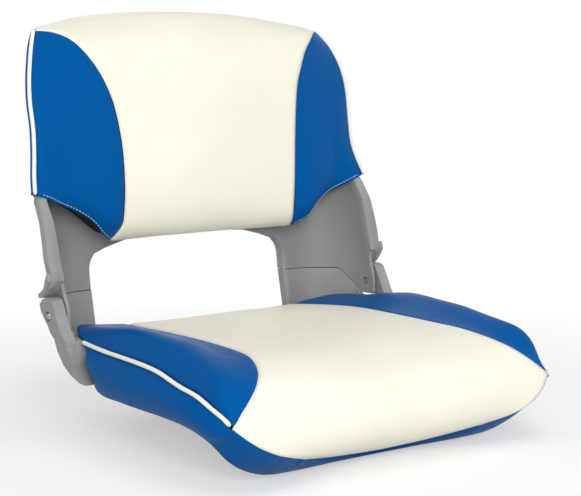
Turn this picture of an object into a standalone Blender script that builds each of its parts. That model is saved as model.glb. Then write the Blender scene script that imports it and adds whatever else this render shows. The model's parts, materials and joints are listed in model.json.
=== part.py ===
"""A folding boat seat: two moulded shells hinged on side bolts, with upholstered cushions."""
import math

import bmesh
import bpy
from mathutils import Matrix, Vector
from mathutils.geometry import interpolate_bezier

# Seat cushion, from its rear edge forward and from the mounting plane up
SEAT_HALF_WIDTH = 0.218
SEAT_DEPTH = 0.364
SEAT_TOP_Z = 0.120
SEAT_REAR_Y = 0.174
BOLSTER_RISE = 0.020
BOXING_BULGE = 0.008

# Back cushion, from the hinge axis rearward and from its lower edge up
BACK_REACH = 0.120
BACK_BOTTOM_Z = 0.200
BACK_HEIGHT = 0.263
WING_BULGE = 0.004
WING_GAP = 0.0017

# Cover
SKIN = 0.002
SEAM_GAP = 0.0004
PIPING_RADIUS = 0.0023
PIPING_CLEARANCE = 0.0008
FOAM_CLEARANCE = 0.0026
BACK_FOAM_CLEARANCE = 0.0056

# Widths of the shells and the back, from the seat's, and the opening between the legs
SHELL_WALL = 0.004
SHELL_INSET = 0.002
BACK_OVERHANG = 0.006
LEG_WIDTH = 0.079
SHELL_HALF_WIDTH = SEAT_HALF_WIDTH - SHELL_INSET
BACK_HALF_WIDTH = SHELL_HALF_WIDTH + BACK_OVERHANG
OPENING_HALF_WIDTH = SHELL_HALF_WIDTH - LEG_WIDTH

# Hinge axis, and the hardware along it, counted from the ear outward
HINGE_Y = 0.150
HINGE_Z = 0.132
EAR_INSET = 0.0025
LUG_GAP = 0.0027
LUG_INNER_WALL = 0.0048
LUG_OUTER_WALL = 0.009
EAR_INNER_X = SHELL_HALF_WIDTH - EAR_INSET
EAR_OUTER_X = EAR_INNER_X + SHELL_WALL
LUG_INNER_X = EAR_OUTER_X + LUG_GAP
LUG_SEAT_X = LUG_INNER_X + LUG_INNER_WALL
LUG_OUTER_X = LUG_SEAT_X + LUG_OUTER_WALL
BOLT_RADIUS = 0.002
BOLT_HEAD_RADIUS = 0.0044
BOLT_HEAD_HEIGHT = 0.0062
WASHER_RADIUS = 0.0052
WASHER_THICKNESS = 0.0012
BUSH_RADIUS = 0.0038
BUSH_FLANGE_RADIUS = 0.0065
BUSH_FLANGE = 0.0018
HINGE_GAP = 0.0004
NUT_RADIUS = 0.0042
HEAD_POCKET_RADIUS = 0.0058
SOCKET_RADIUS = 0.0015
SOCKET_DEPTH = 0.0016

# Small screw in the front of each ear's lower tip, and the arm's pocket that the tip turns in
EAR_SCREW_RADIUS = 0.0010
EAR_SCREW_LENGTH = 0.009
EAR_SCREW_HEAD_RADIUS = 0.0024
EAR_SCREW_HEAD = 0.0013
EAR_SCREW_GAP = 0.0006
EAR_SCREW_DROP = 0.0114
EAR_SWEEP_RADIUS = 0.0225

# Lug and arm: the lug's round top turns inside the stop lip
LUG_RADIUS = 0.0208
LUG_START_ANGLE = 42.0
LUG_END_ANGLE = 118.0
ARM_INSET = 0.0085
ARM_ROOT_WIDTH = 0.0065
ARM_STEP = 0.002
ARM_INNER_X = SHELL_HALF_WIDTH - ARM_INSET
ARM_ROOT_X = ARM_INNER_X - ARM_ROOT_WIDTH
ARM_OUTER_X = LUG_OUTER_X - ARM_STEP
EAR_SIDE_CLEARANCE = 0.0018

# Sill that closes the pocket's inner side, and the inward lean of the lug's foot and the arm
SILL_INSET = 0.0009
SILL_WALL = 0.0031
LEAN_PROUD = 0.0005
LEAN_DEPTH = 0.0125
SILL_INNER_X = ARM_INNER_X + SILL_INSET
SILL_OUTER_X = SILL_INNER_X + SILL_WALL
LEAN_TOP_X = LUG_OUTER_X + LEAN_PROUD
LEAN_TOP_DROP = 0.012
LEAN_FOOT_X = LEAN_TOP_X - LEAN_DEPTH
LEAN_FOOT_DROP = 0.072

# Shells
EAR_TIP_Z = 0.116
SHELL_CREST_DROP = 0.013
SHELL_HEIGHT = BACK_BOTTOM_Z + BACK_HEIGHT - SHELL_CREST_DROP - EAR_TIP_Z
CREST_DROP = 0.032
CREST_SINK = 0.004
WALL_BEHIND_HINGE = 0.0685
WALL_LEAN_ANGLE = 8.3
CORNER_LEAD = 0.012
CORNER_INSET = 0.00988
CORNER_START_SHARE = (OPENING_HALF_WIDTH + CORNER_INSET) / SHELL_HALF_WIDTH
OPENING_RADIUS = 0.030
OPENING_TOP_Z = 0.195
LEG_TOP_SHARE = 0.2365
OPENING_CROWN = 0.009
EDGE_RETURN = 0.012
EDGE_ROUND = 0.0055
FLANGE_ROUND = 0.005
FLANGE_RETURN = 0.009
SPLIT_Z = 0.144
SPLIT_SLOPE_REAR = 0.038
SPLIT_SLOPE_FRONT = 0.006
SPLIT_GAP = 0.0008
SPLIT_CUT = 0.060

# Base pan
PAD_HALF_WIDTH = 0.085
PAD_INSET = 0.085
PAD_FRONT_Y = SEAT_REAR_Y - SEAT_DEPTH + PAD_INSET
PAD_REAR_Y = 0.160
RIM_LIP = 0.008
RIB_END_GAP = 0.006
RIB_KNOT = 3
MOUNT_PITCH = 0.127
INSERT_RADIUS = 0.0045
INSERT_BORE_RADIUS = 0.0031
INSERT_HEIGHT = 0.016
BOSS_RADIUS = 0.012
BOSS_HEIGHT = 0.022
BOARD_Z = 0.064
BOARD_THICKNESS = 0.006
BOARD_HALF_WIDTH = 0.160
BOARD_INSET = 0.120
BOARD_FRONT_Y = SEAT_REAR_Y - SEAT_DEPTH + BOARD_INSET
BOARD_REAR_Y = 0.160
BOARD_CORNER = 0.030
RIB_THICKNESS = 0.004
RIB_STEP = 0.0005
RIB_X = 0.070
CROSS_RIB_X = 0.150
CROSS_RIB_INSET = 0.020
CROSS_RIB_FRONT_Y = BOARD_FRONT_Y + CROSS_RIB_INSET
CROSS_RIB_REAR_Y = 0.080
CROSS_RIB_MIDDLE_Y = (CROSS_RIB_FRONT_Y + CROSS_RIB_REAR_Y) / 2
CROSS_RIB_FRONT_DROP = 0.0014
CROSS_RIB_REAR_LIFT = 0.0008
PILLAR_RADIUS = 0.008
PILLAR_INSET = 0.040
PILLAR_FRONT_Y = BOARD_FRONT_Y + PILLAR_INSET
PILLAR_REAR_Y = 0.130
SCREW_RADIUS = 0.0022
SCREW_HEAD_RADIUS = 0.0045
SCREW_HEAD = 0.0025
SCREW_SEAT_Z = 0.0525
PAD_CORNER = 0.022
PAN_SIDE_POWER = 0.9
PAN_REAR_POWER = 1.5

# Clearances and overruns shared by the cuts
FIT = 0.0003
SINK = 0.002
OVERRUN = 0.004
MERGE_DISTANCE = 0.0001

# Curves of the seat cushion: across, along from the rear, up
SEAM_SHARES = (
    (0.541, 0.005, 0.908), (0.591, 0.157, 0.950), (0.615, 0.300, 0.980), (0.615, 0.500, 0.990),
    (0.624, 0.668, 0.983), (0.651, 0.755, 0.967), (0.711, 0.838, 0.908), (0.784, 0.890, 0.825),
    (0.853, 0.915, 0.733), (0.913, 0.929, 0.650), (0.972, 0.942, 0.558),
)
SIDE_SHARES = (
    (0.983, 0.178, 0.900), (1.000, 0.300, 0.890), (1.000, 0.585, 0.858), (1.000, 0.717, 0.783),
    (0.995, 0.797, 0.742), (0.989, 0.860, 0.675), (0.979, 0.907, 0.617), (0.972, 0.942, 0.558),
)
REAR_SHARES = (
    (0.541, 0.005, 0.908), (0.633, -0.014, 0.908), (0.716, -0.016, 0.910), (0.807, -0.003, 0.918),
    (0.885, 0.044, 0.925), (0.945, 0.105, 0.918), (0.983, 0.178, 0.900),
)
BORDER_SHARES = (
    (0.972, 0.942, 0.558), (0.917, 0.958, 0.467), (0.860, 0.966, 0.390), (0.803, 0.968, 0.333),
    (0.734, 0.962, 0.275), (0.642, 0.942, 0.222), (0.550, 0.917, 0.175), (0.400, 0.872, 0.100),
    (0.250, 0.838, 0.060), (0.120, 0.832, 0.050), (0.000, 0.832, 0.050),
)
CENTRE_TOP_SHARES = (
    (0, 0.016, 0.900), (0, 0.080, 0.955), (0, 0.200, 0.985), (0, 0.450, 1.000), (0, 0.660, 1.000),
    (0, 0.770, 0.965), (0, 0.870, 0.880), (0, 0.945, 0.750), (0, 0.985, 0.580),
)
CENTRE_NOSE_SHARES = (
    (0, 0.985, 0.580), (0, 0.988, 0.430), (0, 0.968, 0.280), (0, 0.920, 0.150), (0, 0.832, 0.050),
)
BOXING_REAR_SHARES = (
    (0.000, 0.012, 0.620), (0.505, 0.000, 0.620), (0.690, -0.008, 0.700), (0.817, 0.010, 0.790),
    (0.890, 0.070, 0.800), (0.905, 0.150, 0.745),
)
BOXING_BOTTOM_SHARES = (
    (0.945, 0.190, 0.715), (0.973, 0.215, 0.640), (0.985, 0.262, 0.495), (0.990, 0.396, 0.470),
    (0.990, 0.643, 0.468), (0.986, 0.753, 0.444), (0.963, 0.830, 0.364), (0.908, 0.863, 0.226),
    (0.817, 0.863, 0.120), (0.688, 0.852, 0.042), (0.505, 0.838, 0.014), (0.250, 0.828, 0.010),
    (0.000, 0.826, 0.010),
)

# Curves of the back cushion: across, out from the hinge axis, up
BACK_SEAM_SHARES = (
    (0.577, 0.367, 0.008), (0.563, 0.285, 0.040), (0.545, 0.220, 0.087), (0.541, 0.192, 0.175),
    (0.541, 0.183, 0.262), (0.550, 0.200, 0.433), (0.577, 0.250, 0.597), (0.604, 0.292, 0.677),
    (0.644, 0.333, 0.753), (0.694, 0.392, 0.821), (0.757, 0.455, 0.878), (0.824, 0.570, 0.910),
    (0.887, 0.700, 0.918),
)
BACK_SIDE_SHARES = (
    (1.027, 0.205, 0.240), (1.014, 0.282, 0.312), (1.000, 0.333, 0.388), (0.995, 0.367, 0.502),
    (1.000, 0.408, 0.612), (0.995, 0.442, 0.692), (0.977, 0.492, 0.768), (0.946, 0.580, 0.844),
    (0.896, 0.712, 0.917),
)
HEM_SHARES = (
    (0.577, 0.367, 0.008), (0.649, 0.265, 0.046), (0.685, 0.250, 0.080), (0.721, 0.258, 0.110),
    (0.766, 0.268, 0.137), (0.806, 0.275, 0.156), (0.856, 0.275, 0.175), (0.910, 0.240, 0.194),
    (0.968, 0.195, 0.217), (1.027, 0.190, 0.236),
)
BACK_CENTRE_SHARES = (
    (0, 0.540, 0.004), (0, 0.380, 0.018), (0, 0.250, 0.070), (0, 0.175, 0.160), (0, 0.150, 0.262),
    (0, 0.142, 0.346), (0, 0.158, 0.433), (0, 0.208, 0.570), (0, 0.275, 0.677), (0, 0.367, 0.768),
    (0, 0.500, 0.856), (0, 0.650, 0.924), (0, 0.817, 0.973), (0, 0.983, 1.000),
)
BACK_CREST_END_SHARES = (0.860, 0.860, 0.918)
BACK_CREST_CENTRE_SHARES = (0, 1.100, 0.992)

# Back shell stations: up, front edge behind the axis, wall, flange
SHELL_STATION_SHARES = (
    (0.000, -0.155, 0.988, 1.013), (0.048, -0.163, 0.988, 1.014), (0.081, -0.142, 0.988, 1.014),
    (0.108, -0.108, 0.991, 1.015), (0.138, -0.083, 0.995, 1.016), (0.165, -0.063, 0.995, 1.075),
    (0.237, -0.008, 0.997, 1.081), (0.302, 0.042, 1.000, 1.076), (0.371, 0.108, 1.000, 1.071),
    (0.419, 0.222, 1.000, 1.064), (0.446, 0.275, 0.995, 1.051), (0.497, 0.345, 0.981, 1.036),
    (0.557, 0.390, 0.968, 1.020), (0.647, 0.420, 0.965, 1.012), (0.734, 0.462, 0.965, 1.016),
    (0.796, 0.505, 0.960, 1.010), (0.856, 0.560, 0.940, 0.992), (0.916, 0.650, 0.900, 0.955),
    (0.973, 0.790, 0.840, 0.893), (1.000, 0.870, 0.775, 0.835),
)

# Lug, arm and sill outlines: ahead of the hinge axis and above it, as shares of the seat's height
LUG_REAR_SHARES = (
    (-0.150, 0.100), (-0.128, 0.041), (-0.081, -0.013), (-0.022, -0.064), (0.037, -0.113), (0.104, -0.155),
    (0.150, -0.300),
)
LUG_FRONT_SHARES = (
    (0.200, -0.060), (0.230, -0.108), (0.262, -0.142), (0.292, -0.180), (0.302, -0.245), (0.262, -0.310),
)
ARM_SHARES = (
    (0.085, -0.186), (0.150, -0.180), (0.258, -0.200), (0.304, -0.250), (0.316, -0.305), (0.335, -0.425),
    (0.440, -0.510), (0.515, -0.560), (0.410, -0.560), (0.265, -0.508), (0.158, -0.425), (0.100, -0.300),
)
ARM_ROOT_SHARES = (
    (0.130, -0.385), (0.290, -0.385), (0.330, -0.440), (0.430, -0.525), (0.280, -0.490), (0.175, -0.430),
)
SILL_SHARES = (
    (0.117, -0.145), (-0.046, -0.145), (-0.117, -0.083), (-0.117, -0.200), (-0.060, -0.270), (0.050, -0.317),
    (0.117, -0.317),
)

# Stop lip outline: behind the hinge axis and above it, as shares of the seat's height
STOP_LIP_SHARES = (
    (0.130, 0.157), (0.134, 0.190), (0.100, 0.212), (0.062, 0.232), (0.030, 0.270), (0.006, 0.335),
    (-0.030, 0.400), (-0.052, 0.330), (-0.015, 0.262), (0.030, 0.205), (0.075, 0.163),
)
STOP_LIP_STEP = 0.0022
STOP_LIP_INNER_X = SHELL_HALF_WIDTH
STOP_LIP_OUTER_X = LUG_OUTER_X + STOP_LIP_STEP

# Rim of the base pan, behind the cushion and then round its sides and front: across, along, up
PAN_REAR_SHARES = (
    (0.000, -0.038, 0.767), (0.250, -0.038, 0.767), (0.450, -0.044, 0.767), (0.570, -0.070, 0.770),
)
PAN_SIDE_SHARES = (
    (0.931, 0.148, 0.745), (0.952, 0.205, 0.640), (0.959, 0.258, 0.550), (0.959, 0.451, 0.533),
    (0.959, 0.643, 0.533), (0.954, 0.739, 0.500), (0.917, 0.813, 0.383), (0.849, 0.838, 0.233),
    (0.734, 0.835, 0.133), (0.550, 0.824, 0.100), (0.275, 0.821, 0.092), (0.000, 0.821, 0.092),
)
PAD_SPINE_SHARE = 0.92

# Corners of the base that carry the back's legs
UPSTAND_FOOT_Z = 0.094
UPSTAND_TAPER = 0.0135
UPSTAND_REAR_TAPER = 0.004

# Shape of the seat's raised side panels, of its band and of its piping's end
BOLSTER_COLUMN_SHARES = (0.0, 0.18, 0.36, 0.54, 0.70, 0.84, 0.94, 1.0)
BOLSTER_REAR_SHARE = 0.25
BOLSTER_FULL_SHARE = 0.32
BOLSTER_FALL_SHARE = 0.20
BOLSTER_TIP_SHARE = 0.5
BOLSTER_LAST_SHARE = 0.955
BOLSTER_PEAK_POWER = 1.73
BULGE_RUN = 0.030
ARM_REACH = 0.040
PIPING_REACH_SHARE = 0.985

# Foam: its edges, its flat floor between the base's corners, and its lower nose
FOAM_EDGE = 0.006
BACK_FOAM_EDGE = 0.016
FOAM_REAR_SHARE = 0.25
FOAM_FLAT_X = 0.150
FOAM_RIM_X = 0.190
FOAM_NOSE_Z = 0.026
FOAM_NOSE_INSET = 0.072
FOAM_NOSE_Y = SEAT_REAR_Y - SEAT_DEPTH + FOAM_NOSE_INSET
FOAM_NOSE_SMILE = 0.030
FOAM_NARROW_SHARE = 0.20
FOAM_REAR_NARROW_SHARE = 0.09

# Shape of the back's crest, side panels and rear cover
CREST_LIFT = 0.002
CREST_ROW_SHARE = 0.5
BACK_CROWN_POWER = 2.3
WING_TIP_SHARE = 0.5
HEM_FADE_POWER = 3
COVER_GAP = 0.0015
COVER_FOOT_GAP = 0.003
COVER_CORNER_ANGLE = 60.0

# How finely each surface is divided, and which knots of a curve start its next stretch
CURVE_STEPS = 10
SEAM_ROWS = 12
NOSE_ROWS = 4
PANEL_COLUMNS = 8
NOSE_KNOT = 6
FRONT_CORNER_KNOT = 6
BOXING_COLUMNS = (12, 14, 12)
BOXING_ROWS = 4
PIPING_STEPS = 20
FOAM_COLUMNS = 14
CORNER_STEPS = 5
COVER_WALL_COLUMNS = 3
COVER_CORNER_COLUMNS = 6
COVER_ROW_SHARES = (0.0, 0.12, 0.25, 0.40, 0.55, 0.70, 0.82, 0.92, 1.0)
SPLIT_ROUNDS = 6
EDGE_TURN_SHARES = (0.5, 1.0)
FLANGE_TURN_SHARES = (0.5, 1.0)
FLANGE_FIRST_ROW = 6
LINTEL_COLUMNS = 4
LINTEL_POWER = 6
WING_COLUMNS = 6
BACK_ROWS = 13
CORNER_COLUMNS = 7
LEG_ROW_SHARES = (0.0, 0.13, 0.25, 0.36, 0.46, 0.58, 0.70, 0.85, 1.0)
BACK_SHELL_ROW_SHARES = (0.0, 0.07, 0.15, 0.24, 0.36, 0.50, 0.63, 0.74, 0.83, 0.91, 0.97, 1.0)
PAN_ROW_SHARES = (0.0, 0.35, 0.70, 1.0)
UPSTAND_ROW_SHARES = (0.0, 0.5, 1.0)
PAN_REAR_COLUMNS = 5
PAN_SIDE_COLUMNS = 15
LUG_STEPS = 6
ROUND_SEGMENTS = 16


def clear_scene():
    """Take every object out of the file."""
    for item in list(bpy.data.objects):
        bpy.data.objects.remove(item, do_unlink=True)


def make_collection(name):
    """A new collection in the scene."""
    collection = bpy.data.collections.new(name)
    bpy.context.scene.collection.children.link(collection)
    return collection


def make_material(name, colour, roughness, metallic=0.0):
    """A plain Principled material."""
    material = bpy.data.materials.new(name)
    material.use_nodes = True
    shader = material.node_tree.nodes["Principled BSDF"]
    shader.inputs["Base Color"].default_value = (*colour, 1.0)
    shader.inputs["Roughness"].default_value = roughness
    shader.inputs["Metallic"].default_value = metallic
    return material


clear_scene()
PARTS = make_collection("folding_boat_seat")
CUTTERS = make_collection("cutters")
GREY = make_material("grey_moulded_plastic", (0.28, 0.28, 0.27), 0.5)
CREAM = make_material("cream_vinyl", (0.93, 0.90, 0.80), 0.45)
BLUE = make_material("blue_vinyl", (0.010, 0.085, 0.40), 0.42)
FOAM = make_material("foam", (0.85, 0.80, 0.62), 0.95)
STEEL = make_material("stainless_steel", (0.62, 0.61, 0.58), 0.28, 1.0)
BRASS = make_material("brass", (0.75, 0.58, 0.28), 0.35, 1.0)
NYLON = make_material("nylon", (0.80, 0.80, 0.76), 0.5)
BOARD = make_material("board", (0.38, 0.25, 0.14), 0.8)

HINGE = bpy.data.objects.new("back_fold_axis", None)
HINGE.location = (0, HINGE_Y, HINGE_Z)
PARTS.objects.link(HINGE)


# Points and curves

def seat_points(table):
    """Points of a seat cushion curve."""
    return [Vector((across * SEAT_HALF_WIDTH, SEAT_REAR_Y - along * SEAT_DEPTH, up * SEAT_TOP_Z))
            for across, along, up in table]


def back_points(table):
    """Points of a back cushion curve."""
    return [Vector((across * BACK_HALF_WIDTH, HINGE_Y + out * BACK_REACH, BACK_BOTTOM_Z + up * BACK_HEIGHT))
            for across, out, up in table]


def flipped(points):
    """The same points on the other side of the seat."""
    return [Vector((-point.x, point.y, point.z)) for point in points]


def smooth(knots):
    """Fine points along a smooth curve through the knots."""
    fine = [knots[0].copy()]
    last = len(knots) - 1
    for index in range(last):
        before = knots[max(index - 1, 0)]
        start = knots[index]
        end = knots[index + 1]
        after = knots[min(index + 2, last)]
        reach = (end - start).length / 3
        lead = start + (end - before).normalized() * reach
        trail = end - (after - start).normalized() * reach
        fine.extend(interpolate_bezier(start, lead, trail, end, CURVE_STEPS + 1)[1:])
    return fine


def along(path, share):
    """The point at a share of a path's length."""
    lengths = [0.0]
    for start, end in zip(path, path[1:]):
        lengths.append(lengths[-1] + (end - start).length)
    wanted = share * lengths[-1]
    for index in range(1, len(path)):
        if wanted <= lengths[index] or index == len(path) - 1:
            step = lengths[index] - lengths[index - 1]
            return path[index - 1].lerp(path[index], (wanted - lengths[index - 1]) / step)


def spread(knots, count):
    """Evenly spaced points along the smooth curve through the knots."""
    fine = smooth(knots)
    return [along(fine, index / (count - 1)) for index in range(count)]


def normals_of(rows):
    """The surface normal at each point of a grid."""
    result = []
    for i, row in enumerate(rows):
        above = rows[max(i - 1, 0)]
        below = rows[min(i + 1, len(rows) - 1)]
        line = []
        for j in range(len(row)):
            across = row[min(j + 1, len(row) - 1)] - row[max(j - 1, 0)]
            line.append(across.cross(below[j] - above[j]).normalized())
        result.append(line)
    return result


# Objects

def add_object(name, mesh, material, parent=None, collection=None):
    """Link a mesh as a named object; one that turns with the back has the hinge axis as its origin."""
    item = bpy.data.objects.new(name, mesh)
    (collection or PARTS).objects.link(item)
    if material:
        mesh.materials.append(material)
    if parent:
        mesh.transform(Matrix.Translation(-parent.location))
        item.parent = parent
    return item


def mesh_of(name, points, faces):
    """A mesh from points and faces."""
    mesh = bpy.data.meshes.new(name)
    mesh.from_pydata([tuple(point) for point in points], [], faces)
    mesh.update()
    return mesh


def grid_faces(rows, columns, first=0, closed=False):
    """Quads of a grid whose points are numbered row by row."""
    faces = []
    for i in range(rows - 1):
        for j in range(columns if closed else columns - 1):
            following = (j + 1) % columns
            start = first + i * columns
            faces.append((start + j, start + following, start + columns + following, start + columns + j))
    return faces


def face_toward(mesh, toward):
    """Turn the faces so that, taken together, they look toward a direction."""
    total = Vector()
    for face in mesh.polygons:
        total += face.normal * face.area
    if total.dot(Vector(toward)) < 0:
        mesh.flip_normals()


def thicken(item, thickness):
    """Give a surface its wall, behind the face that shows."""
    solidify = item.modifiers.new("wall", "SOLIDIFY")
    solidify.thickness = thickness
    solidify.offset = -1
    solidify.use_even_offset = True
    solidify.use_quality_normals = True


def add_sheet(name, rows, toward, material, thickness=SKIN, parent=None, closed=False):
    """A sheet of even thickness whose outer face is the grid of points."""
    points = [point for row in rows for point in row]
    mesh = mesh_of(name, points, grid_faces(len(rows), len(rows[0]), closed=closed))
    face_toward(mesh, toward)
    mesh.shade_smooth()
    item = add_object(name, mesh, material, parent)
    thicken(item, thickness)
    return item


def outward(mesh):
    """Turn every face of a closed mesh outward."""
    work = bmesh.new()
    work.from_mesh(mesh)
    bmesh.ops.recalc_face_normals(work, faces=work.faces)
    work.to_mesh(mesh)
    work.free()


def add_core(name, upper, lower, material, parent=None):
    """A closed solid between two grids of the same size."""
    count = len(upper)
    width = len(upper[0])
    points = [point for grid in (upper, lower) for row in grid for point in row]
    faces = grid_faces(count, width) + grid_faces(count, width, count * width)
    edge = [j for j in range(width)]
    edge += [i * width + width - 1 for i in range(1, count)]
    edge += [(count - 1) * width + j for j in range(width - 2, -1, -1)]
    edge += [i * width for i in range(count - 2, 0, -1)]
    for start, end in zip(edge, edge[1:] + edge[:1]):
        faces.append((start, end, count * width + end, count * width + start))
    mesh = mesh_of(name, points, faces)
    outward(mesh)
    mesh.shade_smooth()
    return add_object(name, mesh, material, parent)


def prism_mesh(name, outline, low_x, high_x):
    """A solid with one outline in the side view."""
    points = [(x, y, z) for x in (low_x, high_x) for y, z in outline]
    count = len(outline)
    faces = [tuple(range(count)), tuple(range(count, 2 * count))]
    for index in range(count):
        following = (index + 1) % count
        faces.append((index, following, count + following, count + index))
    mesh = mesh_of(name, points, faces)
    outward(mesh)
    return mesh


def add_round(name, radius, low, high, centre, axis, material, parent=None, collection=None):
    """A cylinder along X, Y or Z between two places on its axis."""
    work = bmesh.new()
    bmesh.ops.create_cone(work, cap_ends=True, segments=ROUND_SEGMENTS, radius1=radius, radius2=radius,
                          depth=high - low)
    mesh = bpy.data.meshes.new(name)
    work.to_mesh(mesh)
    work.free()
    turn = {"X": Matrix.Rotation(math.pi / 2, 4, "Y"), "Y": Matrix.Rotation(-math.pi / 2, 4, "X"),
            "Z": Matrix.Identity(4)}[axis]
    place = Vector(centre)
    place["XYZ".index(axis)] = (low + high) / 2
    mesh.transform(turn)
    item = add_object(name, mesh, material, None, collection)
    item.location = place
    if parent:
        item.parent = parent
        item.location = place - parent.location
    return item


def add_cutter(item):
    """Keep an object out of the model, as a guide for a cut or a join."""
    for collection in list(item.users_collection):
        collection.objects.unlink(item)
    CUTTERS.objects.link(item)
    item.hide_render = True
    item.display_type = "WIRE"
    return item


def combine(item, other, operation):
    """Cut or join one object with another."""
    add_cutter(other)
    boolean = item.modifiers.new(other.name, "BOOLEAN")
    boolean.operation = operation
    boolean.object = other
    return item


def add_tube(name, path, radius, material, parent=None):
    """A tube along a path, with filled ends."""
    curve = bpy.data.curves.new(name, "CURVE")
    curve.dimensions = "3D"
    curve.bevel_depth = radius
    curve.bevel_resolution = 2
    curve.use_fill_caps = True
    spline = curve.splines.new("POLY")
    spline.points.add(len(path) - 1)
    origin = parent.location if parent else Vector()
    for knot, point in zip(spline.points, path):
        knot.co = (*(point - origin), 1.0)
    item = bpy.data.objects.new(name, curve)
    PARTS.objects.link(item)
    curve.materials.append(material)
    item.parent = parent
    return item


# Seat cushion

def row_across(centre, side, power=2.0):
    """A row of a crowned panel, from the left side through the centre to the right."""
    row = []
    for index in range(PANEL_COLUMNS + 1):
        share = 2 * index / PANEL_COLUMNS - 1
        y = centre.y + (side.y - centre.y) * share ** 2
        z = centre.z + (side.z - centre.z) * abs(share) ** power
        row.append(Vector((share * side.x, y, z)))
    return row


def inset(rows, depth, toward):
    """The same grid, moved behind its outer face."""
    sense = 1 if normals_of(rows)[len(rows) // 2][len(rows[0]) // 2].dot(Vector(toward)) > 0 else -1
    return [[point - normal * (sense * depth) for point, normal in zip(row, line)]
            for row, line in zip(rows, normals_of(rows))]


def seat_centre_rows():
    """The pale panel, from the rear edge over the front and under the nose."""
    seam = spread(seat_points(SEAM_SHARES), SEAM_ROWS)
    centre = spread(seat_points(CENTRE_TOP_SHARES), SEAM_ROWS)
    border = smooth(seat_points(BORDER_SHARES))[:NOSE_KNOT * CURVE_STEPS + 1]
    nose = smooth(seat_points(CENTRE_NOSE_SHARES))
    for index in range(1, NOSE_ROWS + 1):
        seam.append(along(border, index / NOSE_ROWS))
        centre.append(along(nose, index / NOSE_ROWS))
    return [row_across(middle, side) for middle, side in zip(centre, seam)]


def bolster_level(share):
    """How high the side panel stands at a share of its length."""
    climb = min(1.0, share / BOLSTER_FULL_SHARE)
    level = BOLSTER_REAR_SHARE + (1 - BOLSTER_REAR_SHARE) * climb * climb * (3 - 2 * climb)
    return level * math.sqrt(min(1.0, (1 - share) / BOLSTER_FALL_SHARE))


def bolster_rows():
    """The raised side panel on the right, from its rear edge to its tip."""
    seam = spread(seat_points(SEAM_SHARES), SEAM_ROWS)
    side = spread(seat_points(SIDE_SHARES), SEAM_ROWS)
    seam[-1] = seam[-2].lerp(seam[-1], BOLSTER_TIP_SHARE)
    side[-1] = side[-2].lerp(side[-1], BOLSTER_TIP_SHARE)
    rear = smooth(seat_points(REAR_SHARES))
    rows = []
    levels = []
    for index, (start, end) in enumerate(zip(seam, side)):
        share = min(index / (SEAM_ROWS - 1), BOLSTER_LAST_SHARE)
        width = (end - start).length
        first = SEAM_GAP / width
        last = 1 - (PIPING_RADIUS + PIPING_CLEARANCE) / width
        row = []
        for column in BOLSTER_COLUMN_SHARES:
            place = first + (last - first) * column
            bend = along(rear, column) - rear[0].lerp(rear[-1], column)
            row.append(start.lerp(end, place) + bend * (1 - share) ** 3)
        rows.append(row)
        levels.append(bolster_level(share))
    raised = []
    for row, line, level in zip(rows, normals_of(rows), levels):
        up = 1 if line[len(line) // 2].z > 0 else -1
        raised.append([
            point + normal * (up * BOLSTER_RISE * level * math.sin(math.pi * column ** BOLSTER_PEAK_POWER))
            for point, normal, column in zip(row, line, BOLSTER_COLUMN_SHARES)])
    return raised


def boxing_rows(centre_rows, side_rows):
    """The band round the cushion, below its top panels."""
    under_centre = inset(centre_rows, SKIN + SEAM_GAP, (0, 0, 1))
    under_side = inset(side_rows, SKIN + SEAM_GAP, (0, 0, 1))
    half = PANEL_COLUMNS // 2
    rear_top = under_centre[0][half:] + under_side[0][1:]
    drop = Vector((0, 0, PIPING_RADIUS + PIPING_CLEARANCE))
    side_top = [point - drop for point in smooth(seat_points(SIDE_SHARES))]
    beyond = [(end - start).normalized() * (SEAM_GAP + PIPING_CLEARANCE)
              for start, end in zip(under_centre[-2], under_centre[-1])]
    nose_edge = [point + step for point, step in zip(under_centre[-1], beyond)]
    front_top = [row[-1] for row in under_centre[SEAM_ROWS - 1:-1]] + nose_edge[half:][::-1]
    corner = len(BOXING_REAR_SHARES) - 1
    lower = smooth(seat_points(BOXING_REAR_SHARES + BOXING_BOTTOM_SHARES))
    turn = (corner + 1 + FRONT_CORNER_KNOT) * CURVE_STEPS
    bottoms = (lower[:corner * CURVE_STEPS + 1], lower[corner * CURVE_STEPS:turn + 1], lower[turn:])
    top = []
    bottom = []
    for upper_path, lower_path, count in zip((rear_top, side_top, front_top), bottoms, BOXING_COLUMNS):
        first = 0 if not top else 1
        for index in range(first, count + 1):
            top.append(along(upper_path, index / count))
            bottom.append(along(lower_path, index / count))
    rows = []
    for row_index in range(BOXING_ROWS + 1):
        share = row_index / BOXING_ROWS
        row = []
        for index, (high, low) in enumerate(zip(top, bottom)):
            ahead = top[min(index + 1, len(top) - 1)]
            behind = top[max(index - 1, 0)]
            out = Vector((behind.y - ahead.y, ahead.x - behind.x, 0)).normalized()
            clear = min(1.0, max(0.0, (HINGE_Y - ARM_REACH - high.y) / BULGE_RUN))
            bulge = BOXING_BULGE * math.sin(math.pi * share) * abs(out.x) * clear
            row.append(high.lerp(low, share) + out * bulge)
        rows.append(row + flipped(row[1:-1])[::-1])
    return rows


def across_cushion(centre_row, side_row):
    """One path over the cushion from its left edge to its right."""
    return flipped(side_row)[::-1] + centre_row + side_row


def trimmed(path, cut, count):
    """Evenly spaced points along a path whose ends are cut back."""
    length = sum((end - start).length for start, end in zip(path, path[1:]))
    first = cut / length
    return [along(path, first + (1 - 2 * first) * index / count) for index in range(count + 1)]


def ramp(value, low, high):
    """Zero below the low end, one above the high end, even between."""
    return min(1.0, max(0.0, (value - low) / (high - low)))


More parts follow.
